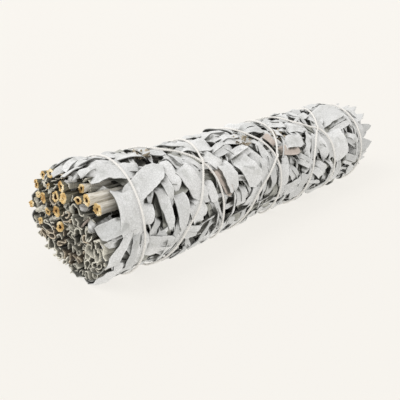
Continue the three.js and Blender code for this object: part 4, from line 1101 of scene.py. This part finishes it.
def budCluster(name, x, angle, seed):  # small papery cups, half buried among the leaves
    draw = seeded(seed)
    x, angle = float(x), float(angle)
    centre = Vector(onBunch(x, angle, radiusAt(x, angle) - budForm["sunk"]).tolist())
    out = (Vector(onBunch(x, angle, radiusAt(x, angle) + 1).tolist()) - centre).normalized()
    sideways = Vector((1, 0, 0))
    ahead = out.cross(sideways)
    points, faces, sides = [], [], budForm["sides"]
    for k in range(budForm["cups"]):
        turn = k * budForm["turn"]
        spread = budForm["spread"] * math.sqrt((k + 0.5) / budForm["cups"])
        lean = (out * between(draw, 0.15, 0.9) + sideways * math.cos(turn + between(draw, -1, 1))
                + ahead * math.sin(turn + between(draw, -1, 1))).normalized()
        across = lean.cross(out + Vector((0.3, 0.1, 0))).normalized()
        upward = lean.cross(across)
        length = budForm["cupLength"] * between(draw, 0.7, 1.25)
        wide = budForm["cupRadius"] * between(draw, 0.8, 1.3)
        start = centre + (sideways * math.cos(turn) * 1.3 + ahead * math.sin(turn)) * spread
        rings = ((0, 0.25), (0.2, 0.8), (0.55, 1.0), (0.8, 0.85), (1.0, 0.95), (0.86, 0.7), (0.5, 0.5),
                 (0.3, 0.1))
        first = len(points)
        for share, size in rings:
            for j in range(sides):
                a = 2 * math.pi * j / sides
                tooth = 0.16 * length * (abs(math.sin(1.5 * a)) ** 2) * (share == 1.0)
                p = start + lean * (share * length + tooth) + across * (wide * size * math.cos(a))
                p += upward * (wide * size * math.sin(a) * 0.75)
                points.append(p[:])
        faces.extend(ringFaces(len(rings), sides, first).tolist())
        faces.append(tuple(first + j for j in reversed(range(sides))))
        faces.append(tuple(first + (len(rings) - 1) * sides + j for j in range(sides)))
    return pieceFrom(name, np.array(points), faces, [sepal])


for n, (x, angle) in enumerate(budForm["places"], 1):
    place(budCluster(f"budCluster{n}", x, angle, 90 + n), f"bud_cluster_{n}")
print("tips and buds done")

# Binding thread
threadForm = {"plies": 3, "plyRadius": 0.27, "plyOffset": 0.25, "twist": 2.8, "sides": 7, "step": 0.55,
              "knotSides": 6, "knotStep": 0.4, "hump": 0.85}


def threadLine():  # the middle of the thread, humped where a later turn crosses an earlier one
    seat = np.full(len(threadX), bunch["threadSeat"])
    ground = onBunch(threadX, threadAngle, radiusAt(threadX, threadAngle) + seat)
    lowest = bunch["threadRadius"] + 0.15
    ground[:, 2] = np.maximum(ground[:, 2], lowest)
    for i in range(120, len(threadX), 3):
        earlier = np.linalg.norm(ground[: i - 110: 3] - ground[i], axis=1)
        near = earlier.min()
        if near < 0.8:
            reach = np.abs(np.arange(len(threadX)) - i) * 0.42
            seat = np.maximum(seat, bunch["threadSeat"] + threadForm["hump"] * np.exp(-(reach / 1.7) ** 2))
    line = onBunch(threadX, threadAngle, radiusAt(threadX, threadAngle) + seat)
    line[:, 2] = np.maximum(line[:, 2], lowest)
    return evenPath(line, threadForm["step"])


def pliedTube(line, run, sides):  # plies twisted round the line
    plies, plyRadius = threadForm["plies"], threadForm["plyRadius"]
    forward = unit(np.gradient(line, axis=0))
    centre = np.stack([line[:, 0], 0 * line[:, 0], axisHeight(line[:, 0])], 1)
    out = line - centre
    out = unit(out - forward * np.sum(out * forward, axis=1, keepdims=True))
    side = np.cross(forward, out)
    points, faces, count = [], [], 0
    for ply in range(plies):
        turn = 2 * np.pi * (run / threadForm["twist"] + ply / plies)
        core = line + threadForm["plyOffset"] * (np.cos(turn)[:, None] * out + np.sin(turn)[:, None] * side)
        rings = []
        for k in range(sides):
            a = 2 * np.pi * k / sides
            rings.append(core + plyRadius * (math.cos(a) * out + math.sin(a) * side))
        grid = np.stack(rings, 1)
        faces.extend(ringFaces(len(line), sides, count)[:, [0, 3, 2, 1]].tolist())
        ends = count + np.arange(sides)
        faces.extend((ends.tolist(), (ends[::-1] + (len(line) - 1) * sides).tolist()))
        points.append(grid.reshape(-1, 3))
        count += len(line) * sides
    return np.concatenate(points), faces


line, run = threadLine()
points, faces = pliedTube(line, run, threadForm["sides"])
place(pieceFrom("bindingThread", points, faces, [cotton]), "binding_thread")
print("thread:", round(float(run[-1])), "mm")


def knotAndTails():  # a small hard knot at the back, and its two cut ends lying on the leaves
    x, angle = (float(value) for value in threadRoute[0])
    centre = onBunch(x, angle, radiusAt(x, angle) + bunch["threadSeat"])
    out, around = outAndAround(angle)
    t = np.linspace(0, 2 * np.pi, 90)
    loop = np.stack([np.sin(t) + 2 * np.sin(2 * t), np.cos(t) - 2 * np.cos(2 * t), -np.sin(3 * t)], 1) * 0.42
    lines = [centre + loop[:, :1] * np.array([1, 0, 0]) + loop[:, 1:2] * around + (loop[:, 2:] + 0.5) * out]
    for way, turn in ((1, 12), (-1, -9)):
        s = np.linspace(0, 1, 30)
        tailX = x + way * 9 * s + 1.2 * np.sin(s * 5)
        tailAngle = angle + turn * s + 6 * np.sin(s * 4)
        height = bunch["threadSeat"] + 0.9 * np.sin(np.pi * s) * (1 - s) + 0.3
        lines.append(onBunch(tailX, tailAngle, radiusAt(tailX, tailAngle) + height))
    points, faces, count = [], [], 0
    for path in lines:
        p, f = pliedTube(*evenPath(path, threadForm["knotStep"]), threadForm["knotSides"])
        points.append(p)
        faces.extend([[i + count for i in face] for face in f])
        count += len(p)
    return pieceFrom("threadKnot", np.concatenate(points), faces, [cotton])


place(knotAndTails(), "binding_thread")
print("thread done")

# Stage: pale table, soft studio light and the camera
studio = {"table": "#5E5C5A", "glow": "#FFFCF6", "glowStrength": 0.805, "sky": "#FFFDFA", "skyStrength": 0.82,
          "sunPower": 1.1, "sunSoftness": 30, "sunColour": (1, 0.995, 0.985), "sunFrom": (-0.55, 0.25, 0.8),
          "sensor": 36, "lens": 620 / 400 * 36, "camera": (-0.2071, -0.18748, 0.12593),
          "aim": (-0.02214, -0.00015, 0.01407)}


def paleTable():  # a matt white light table: its own faint glow keeps the shadows pale
    mesh = bpy.data.meshes.new("paleTable")
    mesh.from_pydata([(-4, -4, 0), (4, -4, 0), (4, 4, 0), (-4, 4, 0)], [], [(0, 1, 2, 3)])
    table = bpy.data.objects.new("paleTable", mesh)
    bpy.context.collection.objects.link(table)
    finish, tree, shader = blankFinish("backlitAcrylic", Roughness=0.9)
    shader.inputs["Base Color"].default_value = srgb(studio["table"])
    shader.inputs["Emission Color"].default_value = srgb(studio["glow"])
    shader.inputs["Emission Strength"].default_value = studio["glowStrength"]
    shader.inputs["Specular IOR Level"].default_value = 0.1
    mesh.materials.append(finish)


def softSun():  # one broad soft light from the upper left
    data = bpy.data.lights.new("softSun", "SUN")
    data.energy, data.angle = studio["sunPower"], math.radians(studio["sunSoftness"])
    data.color = studio["sunColour"]
    light = bpy.data.objects.new("softSun", data)
    light.rotation_mode = "QUATERNION"
    light.rotation_quaternion = Vector(studio["sunFrom"]).to_track_quat("Z", "Y")
    bpy.context.collection.objects.link(light)


def studioCamera():
    data = bpy.data.cameras.new("studioCamera")
    data.sensor_width, data.lens = studio["sensor"], studio["lens"]
    data.clip_start, data.clip_end = 0.01, 20
    camera = bpy.data.objects.new("studioCamera", data)
    camera.location = studio["camera"]
    camera.rotation_mode = "QUATERNION"
    camera.rotation_quaternion = (Vector(studio["aim"]) - camera.location).to_track_quat("-Z", "Y")
    bpy.context.collection.objects.link(camera)
    bpy.context.scene.camera = camera


paleTable()
world = bpy.data.worlds.new("softRoom")
world.use_nodes = True
world.node_tree.nodes["Background"].inputs[0].default_value = srgb(studio["sky"])
world.node_tree.nodes["Background"].inputs[1].default_value = studio["skyStrength"]
bpy.context.scene.world = world
softSun()
bpy.context.scene.view_settings.view_transform = "Standard"
studioCamera()

print("bunch finished")
